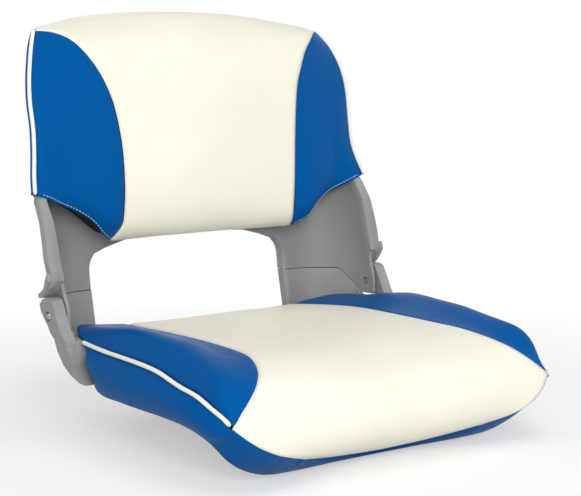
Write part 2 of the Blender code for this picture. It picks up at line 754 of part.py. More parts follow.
def seat_foam_grids(centre_rows, side_rows):
    """Upper and lower faces of the seat's foam."""
    centre_under = inset(centre_rows, SKIN + FOAM_CLEARANCE, (0, 0, 1))
    side_under = inset(side_rows, SKIN + FOAM_CLEARANCE, (0, 0, 1))
    paths = [across_cushion(row, side) for row, side in zip(centre_under[:SEAM_ROWS - 1], side_under)]
    paths += centre_under[SEAM_ROWS - 1:-1]
    upper = [trimmed(path, FOAM_EDGE, FOAM_COLUMNS) for path in paths]
    upper[0] = [first.lerp(second, FOAM_REAR_SHARE) for first, second in zip(upper[0], upper[1])]
    floor = BOARD_Z + BOARD_THICKNESS + FOAM_CLEARANCE
    lower = []
    flat_rows = sum(1 for row in upper if row[0].y > BOARD_FRONT_Y)
    for index, row in enumerate(upper):
        slope = (index - flat_rows) / (len(upper) - 1 - flat_rows)
        line = []
        for point in row:
            rise = (UPSTAND_FOOT_Z + SINK - floor) * ramp(abs(point.x), FOAM_FLAT_X, FOAM_RIM_X)
            rise *= ramp(point.y, HINGE_Y - ARM_REACH - BULGE_RUN, HINGE_Y - ARM_REACH)
            level = floor + rise
            depth = point.y
            across = point.x * (1 - FOAM_REAR_NARROW_SHARE * ramp(point.y, HINGE_Y - ARM_REACH - BULGE_RUN,
                                                                  HINGE_Y - ARM_REACH))
            if slope >= 0:
                nose = FOAM_NOSE_Z + FOAM_NOSE_SMILE * (point.x / SEAT_HALF_WIDTH) ** 2
                level = floor + (nose - floor) * slope
                depth = BOARD_FRONT_Y - SINK + (FOAM_NOSE_Y - BOARD_FRONT_Y) * slope
                across = point.x * (1 - FOAM_NARROW_SHARE * slope)
            line.append(Vector((across, depth, level)))
        lower.append(line)
    return upper, lower


def make_seat_cushion():
    """Cover panels, piping, band, foam and board of the seat."""
    centre = seat_centre_rows()
    side = bolster_rows()
    add_sheet("seat_panel_center", centre, (0, 0, 1), CREAM)
    add_sheet("seat_panel_right", side, (0, 0, 1), BLUE)
    add_sheet("seat_panel_left", [flipped(row) for row in side], (0, 0, 1), BLUE)
    cord = smooth(seat_points(SIDE_SHARES))
    reach = [along(cord, PIPING_REACH_SHARE * index / PIPING_STEPS) for index in range(PIPING_STEPS + 1)]
    add_tube("seat_piping_right", reach, PIPING_RADIUS, CREAM)
    add_tube("seat_piping_left", flipped(reach), PIPING_RADIUS, CREAM)
    make_boxing(boxing_rows(centre, side))
    upper, lower = seat_foam_grids(centre, side)
    add_core("seat_foam", upper, lower, FOAM)
    make_seat_board()


def make_boxing(rows):
    """The closed band round the seat, with its outer face on the grid."""
    points = [point for row in rows for point in row]
    mesh = mesh_of("seat_boxing", points, grid_faces(len(rows), len(rows[0]), closed=True))
    outermost = max(mesh.polygons, key=lambda face: face.center.x)
    if outermost.normal.x < 0:
        mesh.flip_normals()
    mesh.shade_smooth()
    thicken(add_object("seat_boxing", mesh, BLUE), SKIN)


def make_seat_board():
    """The flat board under the foam, with a hole for each of its screws."""
    outline = rounded_rectangle(BOARD_HALF_WIDTH, BOARD_FRONT_Y, BOARD_REAR_Y, BOARD_CORNER)
    mesh = slab_mesh("seat_board", outline, BOARD_Z, BOARD_Z + BOARD_THICKNESS)
    board = add_object("seat_board", mesh, BOARD)
    for name, x, y in pillar_places():
        hole = add_round("board_hole_" + name, SCREW_RADIUS + FIT, BOARD_Z - OVERRUN,
                         BOARD_Z + BOARD_THICKNESS + OVERRUN, (x, y, 0), "Z", None)
        combine(board, hole, "DIFFERENCE")


def rounded_rectangle(half_width, front, rear, radius):
    """A rectangle with round corners, as seen from above."""
    points = []
    corners = ((half_width, rear, 0), (-half_width, rear, 90), (-half_width, front, 180),
               (half_width, front, 270))
    for x, y, start in corners:
        centre_x = x - math.copysign(radius, x)
        centre_y = y - (radius if y == rear else -radius)
        for step in range(CORNER_STEPS + 1):
            angle = math.radians(start + 90 * step / CORNER_STEPS)
            points.append((centre_x + radius * math.cos(angle), centre_y + radius * math.sin(angle)))
    return points


def slab_mesh(name, outline, low, high):
    """A flat slab with one outline, as seen from above."""
    count = len(outline)
    points = [(x, y, z) for z in (low, high) for x, y in outline]
    faces = [tuple(range(count)), tuple(range(count, 2 * count))]
    for index in range(count):
        following = (index + 1) % count
        faces.append((index, following, count + following, count + index))
    mesh = mesh_of(name, points, faces)
    outward(mesh)
    return mesh


def pillar_places():
    """Names and places of the pillars that carry the board."""
    places = []
    for end, y in (("front", PILLAR_FRONT_Y), ("rear", PILLAR_REAR_Y)):
        for hand, x in (("left", -RIB_X), ("right", RIB_X)):
            places.append((end + "_" + hand, x, y))
    return places


# Shells

def split_level(y):
    """Height of the line where the back's legs meet the base."""
    return EAR_TIP_Z + (SPLIT_Z - EAR_TIP_Z) * ramp(y - HINGE_Y, SPLIT_SLOPE_FRONT, SPLIT_SLOPE_REAR)


def station(z):
    """Front edge, wall and flange of the back shell at a height."""
    up = LEG_TOP_SHARE * ramp(z, EAR_TIP_Z, OPENING_TOP_Z)
    up += (1 - LEG_TOP_SHARE) * ramp(z, OPENING_TOP_Z, EAR_TIP_Z + SHELL_HEIGHT)
    for low, high in zip(SHELL_STATION_SHARES, SHELL_STATION_SHARES[1:]):
        if up <= high[0]:
            share = (up - low[0]) / (high[0] - low[0])
            behind, wall, flange = (a + (b - a) * share for a, b in zip(low[1:], high[1:]))
            return HINGE_Y + behind * BACK_REACH, wall * SHELL_HALF_WIDTH, flange * SHELL_HALF_WIDTH


def wall_rear(z):
    """How far back the leaning wall stands at a height."""
    return HINGE_Y + WALL_BEHIND_HINGE + math.tan(math.radians(WALL_LEAN_ANGLE)) * (z - HINGE_Z)


def corner_point(z, angle, narrow=0.0, shallow=0.0):
    """A point on the round rear corner of the shells, at an angle from the rear wall."""
    front, wall, _ = station(z)
    start = wall * CORNER_START_SHARE
    centre_y = front + CORNER_LEAD
    x = start + (wall - narrow - start) * math.sin(angle)
    return Vector((x, centre_y + (wall_rear(z) - shallow - centre_y) * math.cos(angle), z))


def split_point(angle):
    """Where the split line crosses the corner at an angle."""
    level = SPLIT_Z
    for _ in range(SPLIT_ROUNDS):
        level = split_level(corner_point(level, angle).y)
    return corner_point(level, angle)


def corner_angles():
    """Angles of the corner's columns, up to the end of the base's share of it."""
    front, _, _ = station(EAR_TIP_Z)
    centre_y = front + CORNER_LEAD
    depth = wall_rear(EAR_TIP_Z) - centre_y
    last = math.acos((HINGE_Y + SPLIT_SLOPE_FRONT - centre_y) / depth)
    return [last * index / CORNER_COLUMNS for index in range(CORNER_COLUMNS + 1)]


def opening_side(z):
    """Half the width of the lumbar opening at a height, with its round top corner."""
    above = z - (OPENING_TOP_Z - OPENING_RADIUS)
    if above <= 0:
        return OPENING_HALF_WIDTH
    return OPENING_HALF_WIDTH - OPENING_RADIUS + math.sqrt(max(0.0, OPENING_RADIUS ** 2 - above ** 2))


class Surface:
    """Points and faces of a shell's face, gathered strip by strip."""

    def __init__(self):
        self.points = []
        self.faces = []

    def add_points(self, row):
        """Add a row of points and return their numbers."""
        first = len(self.points)
        self.points.extend(row)
        return list(range(first, first + len(row)))

    def add_strip(self, one, other):
        """Join two rows of as many points."""
        for index in range(len(one) - 1):
            self.faces.append((one[index], one[index + 1], other[index + 1], other[index]))

    def add_rows(self, rows):
        """Join each row to the next."""
        for one, other in zip(rows, rows[1:]):
            self.add_strip(one, other)

    def make(self, name, toward):
        """The mesh, with its faces turned to look toward a direction."""
        mesh = mesh_of(name, self.points, self.faces)
        work = bmesh.new()
        work.from_mesh(mesh)
        bmesh.ops.recalc_face_normals(work, faces=work.faces)
        work.to_mesh(mesh)
        work.free()
        face_toward(mesh, toward)
        mesh.shade_smooth()
        return mesh


def edge_return(surface, chain, inward, radius):
    """A round lip along an opening's edge, turned to the rear."""
    edge = [surface.points[number] for number in chain]
    rows = [chain]
    for turn in EDGE_TURN_SHARES:
        angle = turn * math.pi / 2
        row = []
        for point, away in zip(edge, inward):
            row.append(point + away * (radius * math.sin(angle))
                       + Vector((0, radius * (1 - math.cos(angle)), 0)))
        rows.append(surface.add_points(row))
    last = [surface.points[number] + Vector((0, EDGE_RETURN - EDGE_ROUND, 0)) for number in rows[-1]]
    rows.append(surface.add_points(last))
    surface.add_rows(rows)


def front_flange(surface, chain):
    """The flange that turns outward from the side wall's front edge and back again."""
    rows = [chain]
    edge = [surface.points[number] for number in chain]
    for turn in FLANGE_TURN_SHARES:
        angle = turn * math.pi / 2
        rows.append(surface.add_points([
            point + Vector((FLANGE_ROUND * (1 - math.cos(angle)), -FLANGE_ROUND * math.sin(angle), 0))
            for point in edge]))
    for turn in (0.0,) + FLANGE_TURN_SHARES:
        angle = turn * math.pi / 2
        row = []
        for point in edge:
            front, _, out = station(point.z)
            row.append(Vector((out - FLANGE_ROUND * (1 - math.sin(angle)),
                               front + FLANGE_ROUND * (1 - math.cos(angle)), point.z)))
        rows.append(surface.add_points(row))
    rows.append(surface.add_points([
        surface.points[number] + Vector((0, FLANGE_RETURN - FLANGE_ROUND, 0)) for number in rows[-1]]))
    surface.add_rows(rows)


def mirrored(item):
    """Complete a half that is open at the middle."""
    mirror = item.modifiers.new("halves", "MIRROR")
    mirror.use_axis = (True, False, False)
    mirror.use_clip = True
    mirror.merge_threshold = MERGE_DISTANCE


def leg_row(share):
    """A row across the leg of the back shell, from the opening's edge to the side's front edge."""
    feet = [split_point(angle).z - SINK for angle in corner_angles()]
    levels = [foot + (OPENING_TOP_Z - foot) * share for foot in feet]
    row = [Vector((opening_side(levels[0]) + EDGE_ROUND, wall_rear(levels[0]), levels[0]))]
    row += [corner_point(level, angle) for level, angle in zip(levels, corner_angles())]
    foot = EAR_TIP_Z - SINK
    return row + side_end(foot + (OPENING_TOP_Z - foot) * share)


def cut_split(shell, name, sense, parent=None):
    """Trim a shell along the split line: the back above it, the base below."""
    half = sense * SPLIT_GAP / 2
    far = SPLIT_Z - sense * SPLIT_CUT
    outline = [
        (HINGE_Y - SPLIT_CUT, EAR_TIP_Z + half), (HINGE_Y + SPLIT_SLOPE_FRONT, EAR_TIP_Z + half),
        (HINGE_Y + SPLIT_SLOPE_REAR, SPLIT_Z + half), (HINGE_Y + SPLIT_CUT * 2, SPLIT_Z + half),
        (HINGE_Y + SPLIT_CUT * 2, far), (HINGE_Y - SPLIT_CUT, far)]
    cutter = add_object(name, prism_mesh(name, outline, -SHELL_HALF_WIDTH - SPLIT_CUT,
                                         SHELL_HALF_WIDTH + SPLIT_CUT), None, parent)
    combine(shell, cutter, "DIFFERENCE")


def side_end(z):
    """The last points of a row: where the corner ends, and the side's front edge."""
    front, wall, _ = station(z)
    return [corner_point(z, math.pi / 2), Vector((wall, front + FLANGE_ROUND, z))]


def lowered(level, x, share):
    """A height on the back shell, brought down toward the top corners."""
    return level - share ** 2 * (CREST_SINK + CREST_DROP * (x / SHELL_HALF_WIDTH) ** 2)


def upper_row(share):
    """A row across the back shell above the opening, from the middle to the side's front edge."""
    top = EAR_TIP_Z + SHELL_HEIGHT
    level = OPENING_TOP_Z + (top - OPENING_TOP_Z) * share
    wall = station(level)[1]
    foot = station(OPENING_TOP_Z)[1]
    inner = (OPENING_HALF_WIDTH - OPENING_RADIUS + EDGE_ROUND) * wall / foot
    row = []
    for index in range(LINTEL_COLUMNS + 1):
        place = index / LINTEL_COLUMNS
        crown = OPENING_CROWN * (1 - place ** LINTEL_POWER) * (1 - share)
        height = lowered(level + crown, inner * place, share)
        row.append(Vector((inner * place, wall_rear(height), height)))
    for angle in corner_angles():
        height = lowered(level, corner_point(level, angle).x, share)
        row.append(corner_point(height, angle))
    return row + side_end(lowered(level, wall, share))


def make_back_shell():
    """The hinged shell: two legs, the wall above the opening and the flange round it."""
    surface = Surface()
    legs = [surface.add_points(leg_row(share)) for share in LEG_ROW_SHARES[:-1]]
    upper = [surface.add_points(upper_row(share)) for share in BACK_SHELL_ROW_SHARES]
    surface.add_rows(legs)
    surface.add_strip(legs[-1], upper[0][LINTEL_COLUMNS:])
    surface.add_rows(upper)
    chain = [row[0] for row in legs] + upper[0][:LINTEL_COLUMNS + 1][::-1]
    corner_z = OPENING_TOP_Z - OPENING_RADIUS
    inward = []
    for number in chain:
        point = surface.points[number]
        if point.z <= corner_z:
            inward.append(Vector((-1, 0, 0)))
        elif number in upper[0]:
            inward.append(Vector((0, 0, -1)))
        else:
            away = Vector((point.x - OPENING_HALF_WIDTH + OPENING_RADIUS, 0, point.z - corner_z))
            inward.append(-away.normalized())
    edge_return(surface, chain, inward, EDGE_ROUND)
    front_flange(surface, [row[-1] for row in legs[FLANGE_FIRST_ROW:] + upper])
    mesh = surface.make("back_shell", (0, -1, 0))
    shell = add_object("back_shell", mesh, GREY, HINGE)
    mirrored(shell)
    thicken(shell, SHELL_WALL)
    cut_split(shell, "back_split", 1, HINGE)
    outline = [(HINGE_Y + behind * SEAT_TOP_Z, HINGE_Z + up * SEAT_TOP_Z) for behind, up in STOP_LIP_SHARES]
    for hand, sense in (("left", -1), ("right", 1)):
        join_prism(shell, "stop_lip_" + hand, outline, STOP_LIP_INNER_X, STOP_LIP_OUTER_X, sense, HINGE)
        bore(shell, "nut_bore_" + hand, NUT_RADIUS + FIT, EAR_INNER_X - OVERRUN, EAR_OUTER_X + OVERRUN, sense,
             HINGE)
        hole = ear_round("ear_screw_hole_" + hand, EAR_SCREW_RADIUS + FIT, -OVERRUN, EAR_SCREW_LENGTH + FIT,
                         sense)
        combine(shell, hole, "DIFFERENCE")


def ear_round(name, radius, low, high, sense, material=None):
    """A cylinder into the front edge of an ear, from one depth behind that edge to another."""
    level = HINGE_Z - EAR_SCREW_DROP
    edge = station(level)[0] + FLANGE_ROUND
    middle = (EAR_INNER_X + EAR_OUTER_X) / 2
    return add_round(name, radius, edge + low, edge + high, (sense * middle, 0, level), "Y", material, HINGE)


# Base shell

def upstand_point(angle, share):
    """A point on the outer face of the base's corner, from its foot on the rim up to the split line."""
    top = split_point(angle).z + SINK
    level = UPSTAND_FOOT_Z + (top - UPSTAND_FOOT_Z) * share
    drop = (top - SINK - level) / (SPLIT_Z - UPSTAND_FOOT_Z)
    return corner_point(level, angle, UPSTAND_TAPER * drop - SHELL_WALL,
                        UPSTAND_REAR_TAPER * drop - SHELL_WALL)


def upstand_row(share):
    """A row across the base's corner, from the opening's edge to the end of the split line."""
    row = [upstand_point(angle, share) for angle in corner_angles()]
    return [Vector((OPENING_HALF_WIDTH + EDGE_ROUND, row[0].y, row[0].z))] + row


def pad_edge(rear_count, corner_count, side_count):
    """Points on the flat pad's outline, one for each column of the rim."""
    round_x = PAD_HALF_WIDTH - PAD_CORNER
    points = [Vector((round_x * index / rear_count, PAD_REAR_Y, 0)) for index in range(rear_count)]
    for index in range(corner_count):
        angle = math.pi / 2 * index / (corner_count - 1)
        points.append(Vector((round_x + PAD_CORNER * math.sin(angle),
                              PAD_REAR_Y - PAD_CORNER * (1 - math.cos(angle)), 0)))
    path = [points[-1].copy()]
    for index in range(CORNER_STEPS + 1):
        angle = math.pi / 2 * index / CORNER_STEPS
        path.append(Vector((round_x + PAD_CORNER * math.cos(angle),
                            PAD_FRONT_Y + PAD_CORNER * (1 - math.sin(angle)), 0)))
    path.append(Vector((0, PAD_FRONT_Y, 0)))
    return points + [along(path, (index + 1) / side_count) for index in range(side_count)]


def pan_power(y):
    """How hollow the pan's wall is, more so toward the rear."""
    return PAN_SIDE_POWER + (PAN_REAR_POWER - PAN_SIDE_POWER) * ramp(y, HINGE_Y - ARM_REACH, PAD_REAR_Y)


def make_pan_surface():
    """The outer face of the base: pad, walls, rim and the two corners under the legs."""
    surface = Surface()
    rear = spread(seat_points(PAN_REAR_SHARES), PAN_REAR_COLUMNS + 1)
    corner = upstand_row(0.0)
    sides = spread([corner[-1]] + seat_points(PAN_SIDE_SHARES), PAN_SIDE_COLUMNS + 1)[1:]
    rim = rear + corner + sides
    pad = pad_edge(len(rear), len(corner), len(sides))
    middle = (PAD_REAR_Y + PAD_FRONT_Y) / 2
    spine = [Vector((0, middle + (point.y - middle) * PAD_SPINE_SHARE, 0)) for point in pad]
    rows = [surface.add_points(spine), surface.add_points(pad)]
    for share in PAN_ROW_SHARES[1:]:
        row = []
        for low, high in zip(pad, rim):
            level = (high.z - RIM_LIP) * share ** pan_power(high.y)
            row.append(Vector((low.x + (high.x - low.x) * share, low.y + (high.y - low.y) * share, level)))
        rows.append(surface.add_points(row))
    rows.append(surface.add_points(rim))
    surface.add_rows(rows)
    strip = [rows[-1][len(rear):len(rear) + len(corner)]]
    strip += [surface.add_points(upstand_row(share)) for share in UPSTAND_ROW_SHARES[1:]]
    surface.add_rows(strip)
    inward = [Vector((-1, 0, 0))] * len(strip)
    edge_return(surface, [row[0] for row in strip], inward, EDGE_ROUND - SHELL_WALL)
    return surface


def side_outline(table):
    """A side view outline, from shares of the seat's height ahead of the hinge axis and above it."""
    return [(HINGE_Y - ahead * SEAT_TOP_Z, HINGE_Z + up * SEAT_TOP_Z) for ahead, up in table]


def lug_outline():
    """The lug: round over the hinge, running down into the arm."""
    outline = side_outline(LUG_REAR_SHARES)[::-1]
    for index in range(LUG_STEPS + 1):
        angle = math.radians(LUG_START_ANGLE + (LUG_END_ANGLE - LUG_START_ANGLE) * index / LUG_STEPS)
        outline.append((HINGE_Y + LUG_RADIUS * math.cos(angle), HINGE_Z + LUG_RADIUS * math.sin(angle)))
    return outline + side_outline(LUG_FRONT_SHARES)


def join_prism(shell, name, outline, low_x, high_x, sense, parent=None):
    """Join a prism to a shell, on the left or the right."""
    ends = sorted((sense * low_x, sense * high_x))
    combine(shell, add_object(name, prism_mesh(name, outline, *ends), None, parent), "UNION")


def bore(shell, name, radius, low_x, high_x, sense, parent=None):
    """Bore a shell round the hinge axis, on the left or the right."""
    ends = sorted((sense * low_x, sense * high_x))
    combine(shell, add_round(name, radius, *ends, (0, HINGE_Y, HINGE_Z), "X", None, parent), "DIFFERENCE")


def across_mesh(name, outline, rear, front):
    """A solid with one outline in the front view."""
    mesh = slab_mesh(name, outline, -rear, -front)
    mesh.transform(Matrix.Rotation(math.pi / 2, 4, "X"))
    return mesh


def cut_lean(shell, name, sense):
    """Lean the outer face of a lug's foot and its arm inward."""
    top = HINGE_Z - LEAN_TOP_DROP
    foot = HINGE_Z - LEAN_FOOT_DROP
    out = LEAN_TOP_X + OVERRUN
    outline = [(sense * x, z) for x, z in ((LEAN_TOP_X, top), (LEAN_FOOT_X, foot), (out, foot), (out, top))]
    cutter = add_object(name, across_mesh(name, outline, HINGE_Y + ARM_REACH, HINGE_Y - 2 * ARM_REACH), None)
    combine(shell, cutter, "DIFFERENCE")


def make_base_shell():
    """The fixed shell: pan, corners under the legs, lugs with their arms, ribs, bosses and pillars."""
    shell = add_object("base_shell", make_pan_surface().make("base_shell", (0, 0, -1)), GREY)
    mirrored(shell)
    thicken(shell, SHELL_WALL)
    cut_split(shell, "base_split", -1)
    for hand, sense in (("left", -1), ("right", 1)):
        arm = side_outline(ARM_SHARES)
        join_prism(shell, "arm_" + hand, arm, ARM_INNER_X, ARM_OUTER_X, sense)
        join_prism(shell, "arm_root_" + hand, side_outline(ARM_ROOT_SHARES), ARM_ROOT_X, ARM_INNER_X + SINK,
                   sense)
        join_prism(shell, "lug_" + hand, lug_outline(), LUG_INNER_X, LUG_OUTER_X, sense)
        cut_lean(shell, "lean_" + hand, sense)
        bore(shell, "ear_sweep_" + hand, EAR_SWEEP_RADIUS, EAR_INNER_X - EAR_SIDE_CLEARANCE,
             LUG_INNER_X + FIT, sense)
        join_prism(shell, "ear_sill_" + hand, side_outline(SILL_SHARES), SILL_INNER_X, SILL_OUTER_X, sense)
        bore(shell, "head_pocket_" + hand, HEAD_POCKET_RADIUS, LUG_SEAT_X, LUG_OUTER_X + OVERRUN, sense)
        bore(shell, "bush_bore_" + hand, BUSH_RADIUS + FIT, LUG_INNER_X - OVERRUN, LUG_SEAT_X + OVERRUN,
             sense)
    join_ribs(shell)
    join_bosses(shell)


def wall_level(x):
    """Height inside the thickness of the pan's side wall, at a distance from the middle."""
    out, _, up = PAN_SIDE_SHARES[RIB_KNOT]
    share = ramp(x, PAD_HALF_WIDTH, out * SEAT_HALF_WIDTH)
    return (up * SEAT_TOP_Z - RIM_LIP) * share ** PAN_SIDE_POWER + SHELL_WALL / 2


def join_ribs(shell):
    """Two long ribs and the cross ribs, from the pan's floor up to the board."""
    top = BOARD_Z - FIT - RIB_STEP
    half = RIB_THICKNESS / 2
    front = BOARD_FRONT_Y + RIB_END_GAP
    rear = BOARD_REAR_Y - RIB_END_GAP
    for name, x in (("rib_left", -RIB_X), ("rib_right", RIB_X)):
        outline = [(front, SHELL_WALL / 2), (rear, SHELL_WALL / 2), (rear, top), (front, top)]
        combine(shell, add_object(name, prism_mesh(name, outline, x - half, x + half), None), "UNION")
    middle = (PAD_HALF_WIDTH + CROSS_RIB_X) / 2
    places = ((CROSS_RIB_FRONT_Y, -CROSS_RIB_FRONT_DROP), (CROSS_RIB_MIDDLE_Y, 0),
              (CROSS_RIB_REAR_Y, CROSS_RIB_REAR_LIFT))
    for index, (y, lift) in enumerate(places):
        right = [(CROSS_RIB_X, top - RIB_STEP)]
        right += [(x, wall_level(x) + lift) for x in (CROSS_RIB_X, middle, PAD_HALF_WIDTH)]
        outline = right + [(-x, z) for x, z in right[::-1]]
        name = "cross_rib_%d" % index
        mesh = across_mesh(name, outline, y + half, y - half)
        combine(shell, add_object(name, mesh, None), "UNION")


def insert_places():
    """Names and places of the threaded inserts."""
    half = MOUNT_PITCH / 2
    return [("front_left", -half, -half), ("front_right", half, -half),
            ("rear_left", -half, half), ("rear_right", half, half)]


def join_bosses(shell):
    """Bosses for the inserts and pillars for the board's screws, with their holes."""
    for name, x, y in insert_places():
        boss = add_round("boss_" + name, BOSS_RADIUS, SHELL_WALL / 2, BOSS_HEIGHT, (x, y, 0), "Z", None)
        combine(shell, boss, "UNION")
    for name, x, y in pillar_places():
        pillar = add_round("pillar_" + name, PILLAR_RADIUS, SHELL_WALL / 2, BOARD_Z - FIT, (x, y, 0), "Z",
                           None)
        combine(shell, pillar, "UNION")
    for name, x, y in insert_places():
        seat = add_round("insert_seat_" + name, INSERT_RADIUS + FIT, -OVERRUN, INSERT_HEIGHT + FIT, (x, y, 0),
                         "Z", None)
        combine(shell, seat, "DIFFERENCE")
    for name, x, y in pillar_places():
        well = add_round("screw_well_" + name, SCREW_HEAD_RADIUS + FIT, -OVERRUN, SCREW_SEAT_Z, (x, y, 0),
                         "Z", None)
        combine(shell, well, "DIFFERENCE")
        hole = add_round("screw_hole_" + name, SCREW_RADIUS + FIT, SCREW_SEAT_Z - OVERRUN, BOARD_Z + OVERRUN,
                         (x, y, 0), "Z", None)
        combine(shell, hole, "DIFFERENCE")


# Hardware

def make_fasteners():
    """Inserts for the mounting bolts, and the screws that hold the board."""
    for name, x, y in insert_places():
        insert = add_round("mount_insert_" + name, INSERT_RADIUS, 0, INSERT_HEIGHT, (x, y, 0), "Z", BRASS)
        thread = add_round("insert_bore_" + name, INSERT_BORE_RADIUS, -OVERRUN, INSERT_HEIGHT + OVERRUN,
                           (x, y, 0), "Z", None)
        combine(insert, thread, "DIFFERENCE")
    for name, x, y in pillar_places():
        top = SCREW_SEAT_Z - FIT
        screw = add_round("board_screw_" + name, SCREW_HEAD_RADIUS, top - SCREW_HEAD, top, (x, y, 0), "Z",
                          STEEL)
        end = BOARD_Z + BOARD_THICKNESS - FIT
        shank = add_round("board_shank_" + name, SCREW_RADIUS, top - SCREW_HEAD / 2, end, (x, y, 0), "Z",
                          None)
        combine(screw, shank, "UNION")


def along_axis(name, radius, low_x, high_x, sense, material, parent=None):
    """A cylinder round the hinge axis, on the left or the right."""
    ends = sorted((sense * low_x, sense * high_x))
    return add_round(name, radius, *ends, (0, HINGE_Y, HINGE_Z), "X", material, parent)


def make_hinges():
    """On each side a bolt with its washer, the bush in the lug, the nut in the ear and the ear's screw."""
    flange_x = EAR_OUTER_X + HINGE_GAP
    washer_x = LUG_SEAT_X + FIT
    head_x = washer_x + WASHER_THICKNESS + FIT
    for hand, sense in (("left", -1), ("right", 1)):
        bush = along_axis("hinge_bush_" + hand, BUSH_FLANGE_RADIUS, flange_x, flange_x + BUSH_FLANGE, sense,
                          NYLON)
        combine(bush, along_axis("bush_sleeve_" + hand, BUSH_RADIUS, flange_x + BUSH_FLANGE / 2,
                                 LUG_SEAT_X - FIT, sense, None), "UNION")
        combine(bush, along_axis("bush_inside_" + hand, BOLT_RADIUS + FIT, flange_x - OVERRUN,
                                 LUG_SEAT_X + OVERRUN, sense, None), "DIFFERENCE")
        washer = along_axis("hinge_washer_" + hand, WASHER_RADIUS, washer_x, washer_x + WASHER_THICKNESS,
                            sense, STEEL)
        combine(washer, along_axis("washer_hole_" + hand, BOLT_RADIUS + FIT, washer_x - OVERRUN,
                                   head_x + OVERRUN, sense, None), "DIFFERENCE")
        bolt = along_axis("hinge_bolt_" + hand, BOLT_HEAD_RADIUS, head_x, head_x + BOLT_HEAD_HEIGHT, sense,
                          STEEL, HINGE)
        combine(bolt, along_axis("bolt_shank_" + hand, BOLT_RADIUS, EAR_INNER_X + FIT,
                                 head_x + BOLT_HEAD_HEIGHT / 2, sense, None, HINGE), "UNION")
        combine(bolt, along_axis("bolt_socket_" + hand, SOCKET_RADIUS,
                                 head_x + BOLT_HEAD_HEIGHT - SOCKET_DEPTH,
                                 head_x + BOLT_HEAD_HEIGHT + OVERRUN, sense, None, HINGE), "DIFFERENCE")
        nut = along_axis("hinge_nut_" + hand, NUT_RADIUS, EAR_INNER_X, EAR_OUTER_X, sense, STEEL, HINGE)
        combine(nut, along_axis("nut_thread_" + hand, BOLT_RADIUS + FIT, EAR_INNER_X - OVERRUN,
                                EAR_OUTER_X + OVERRUN, sense, None, HINGE), "DIFFERENCE")
        face = -EAR_SCREW_GAP
        screw = ear_round("ear_screw_" + hand, EAR_SCREW_HEAD_RADIUS, face - EAR_SCREW_HEAD, face, sense,
                          STEEL)
        combine(screw, ear_round("ear_shank_" + hand, EAR_SCREW_RADIUS, face - EAR_SCREW_HEAD / 2,
                                 EAR_SCREW_LENGTH - FIT, sense), "UNION")


# Back cushion

def back_centre_rows():
    """The pale panel of the back, from its lower edge up and over the crest."""
    seam = spread(back_points(BACK_SEAM_SHARES), BACK_ROWS)
    centre = spread(back_points(BACK_CENTRE_SHARES), BACK_ROWS)
    crest_end, crest_middle = back_points((BACK_CREST_END_SHARES, BACK_CREST_CENTRE_SHARES))
    lift = Vector((0, 0, CREST_LIFT))
    seam += [seam[-1].lerp(crest_end, CREST_ROW_SHARE) + lift, crest_end]
    centre += [centre[-1].lerp(crest_middle, CREST_ROW_SHARE) + lift, crest_middle]
    return [row_across(middle, side, BACK_CROWN_POWER) for middle, side in zip(centre, seam)]


def wing_rows():
    """The side panel of the back on the right, from its hem up to its tip."""
    seam = spread(back_points(BACK_SEAM_SHARES), BACK_ROWS)
    side = spread(back_points(BACK_SIDE_SHARES), BACK_ROWS)
    seam[-1] = seam[-2].lerp(seam[-1], WING_TIP_SHARE)
    side[-1] = side[-2].lerp(side[-1], WING_TIP_SHARE)
    hem = smooth(back_points(HEM_SHARES))
    rows = []
    for index, (start, end) in enumerate(zip(seam, side)):
        share = index / (BACK_ROWS - 1)
        width = (end - start).length
        first = WING_GAP / width
        last = 1 - (PIPING_RADIUS + PIPING_CLEARANCE) / width
        row = []
        for column_index in range(WING_COLUMNS + 1):
            column = column_index / WING_COLUMNS
            place = first + (last - first) * column
            bend = along(hem, column) - hem[0].lerp(hem[-1], column)
            bulge = Vector((0, -WING_BULGE * math.sin(math.pi * column) * (1 - share), 0))
            row.append(start.lerp(end, place) + bend * (1 - share) ** HEM_FADE_POWER + bulge * min(1, index))
        rows.append(row)
    return rows


def level_on(path, x):
    """Height of a path, which runs outward, at a distance from the middle."""
    for start, end in zip(path, path[1:]):
        if start.x <= x <= end.x:
            return start.z + (end.z - start.z) * (x - start.x) / (end.x - start.x)
    return path[0].z if x < path[0].x else path[-1].z


def side_at(path, z):
    """The point of a path, which runs upward, at a height."""
    for start, end in zip(path, path[1:]):
        if start.z <= z <= end.z:
            return start.lerp(end, (z - start.z) / (end.z - start.z))
    return path[0] if z < path[0].z else path[-1]


def cover_plan(z, side):
    """Right half of the rear cover's outline at a height."""
    front, wall, out = station(z)
    offset = SHELL_WALL + COVER_GAP + SKIN
    start = wall * CORNER_START_SHARE
    centre_y = front + CORNER_LEAD
    rear = wall_rear(z) + offset
    row = [Vector((start * index / COVER_WALL_COLUMNS, rear, z)) for index in range(COVER_WALL_COLUMNS + 1)]
    for index in range(1, COVER_CORNER_COLUMNS + 1):
        angle = math.radians(COVER_CORNER_ANGLE) * index / COVER_CORNER_COLUMNS
        row.append(Vector((start + (wall + offset - start) * math.sin(angle),
                           centre_y + (rear - centre_y) * math.cos(angle), z)))
    edge = side_at(side, z)
    outer = max(edge.x, out + COVER_GAP + SKIN + PIPING_CLEARANCE)
    row.append(Vector((outer, front + CORNER_LEAD, z)))
    row.append(Vector((outer, edge.y + PIPING_RADIUS + PIPING_CLEARANCE, z)))
    return row


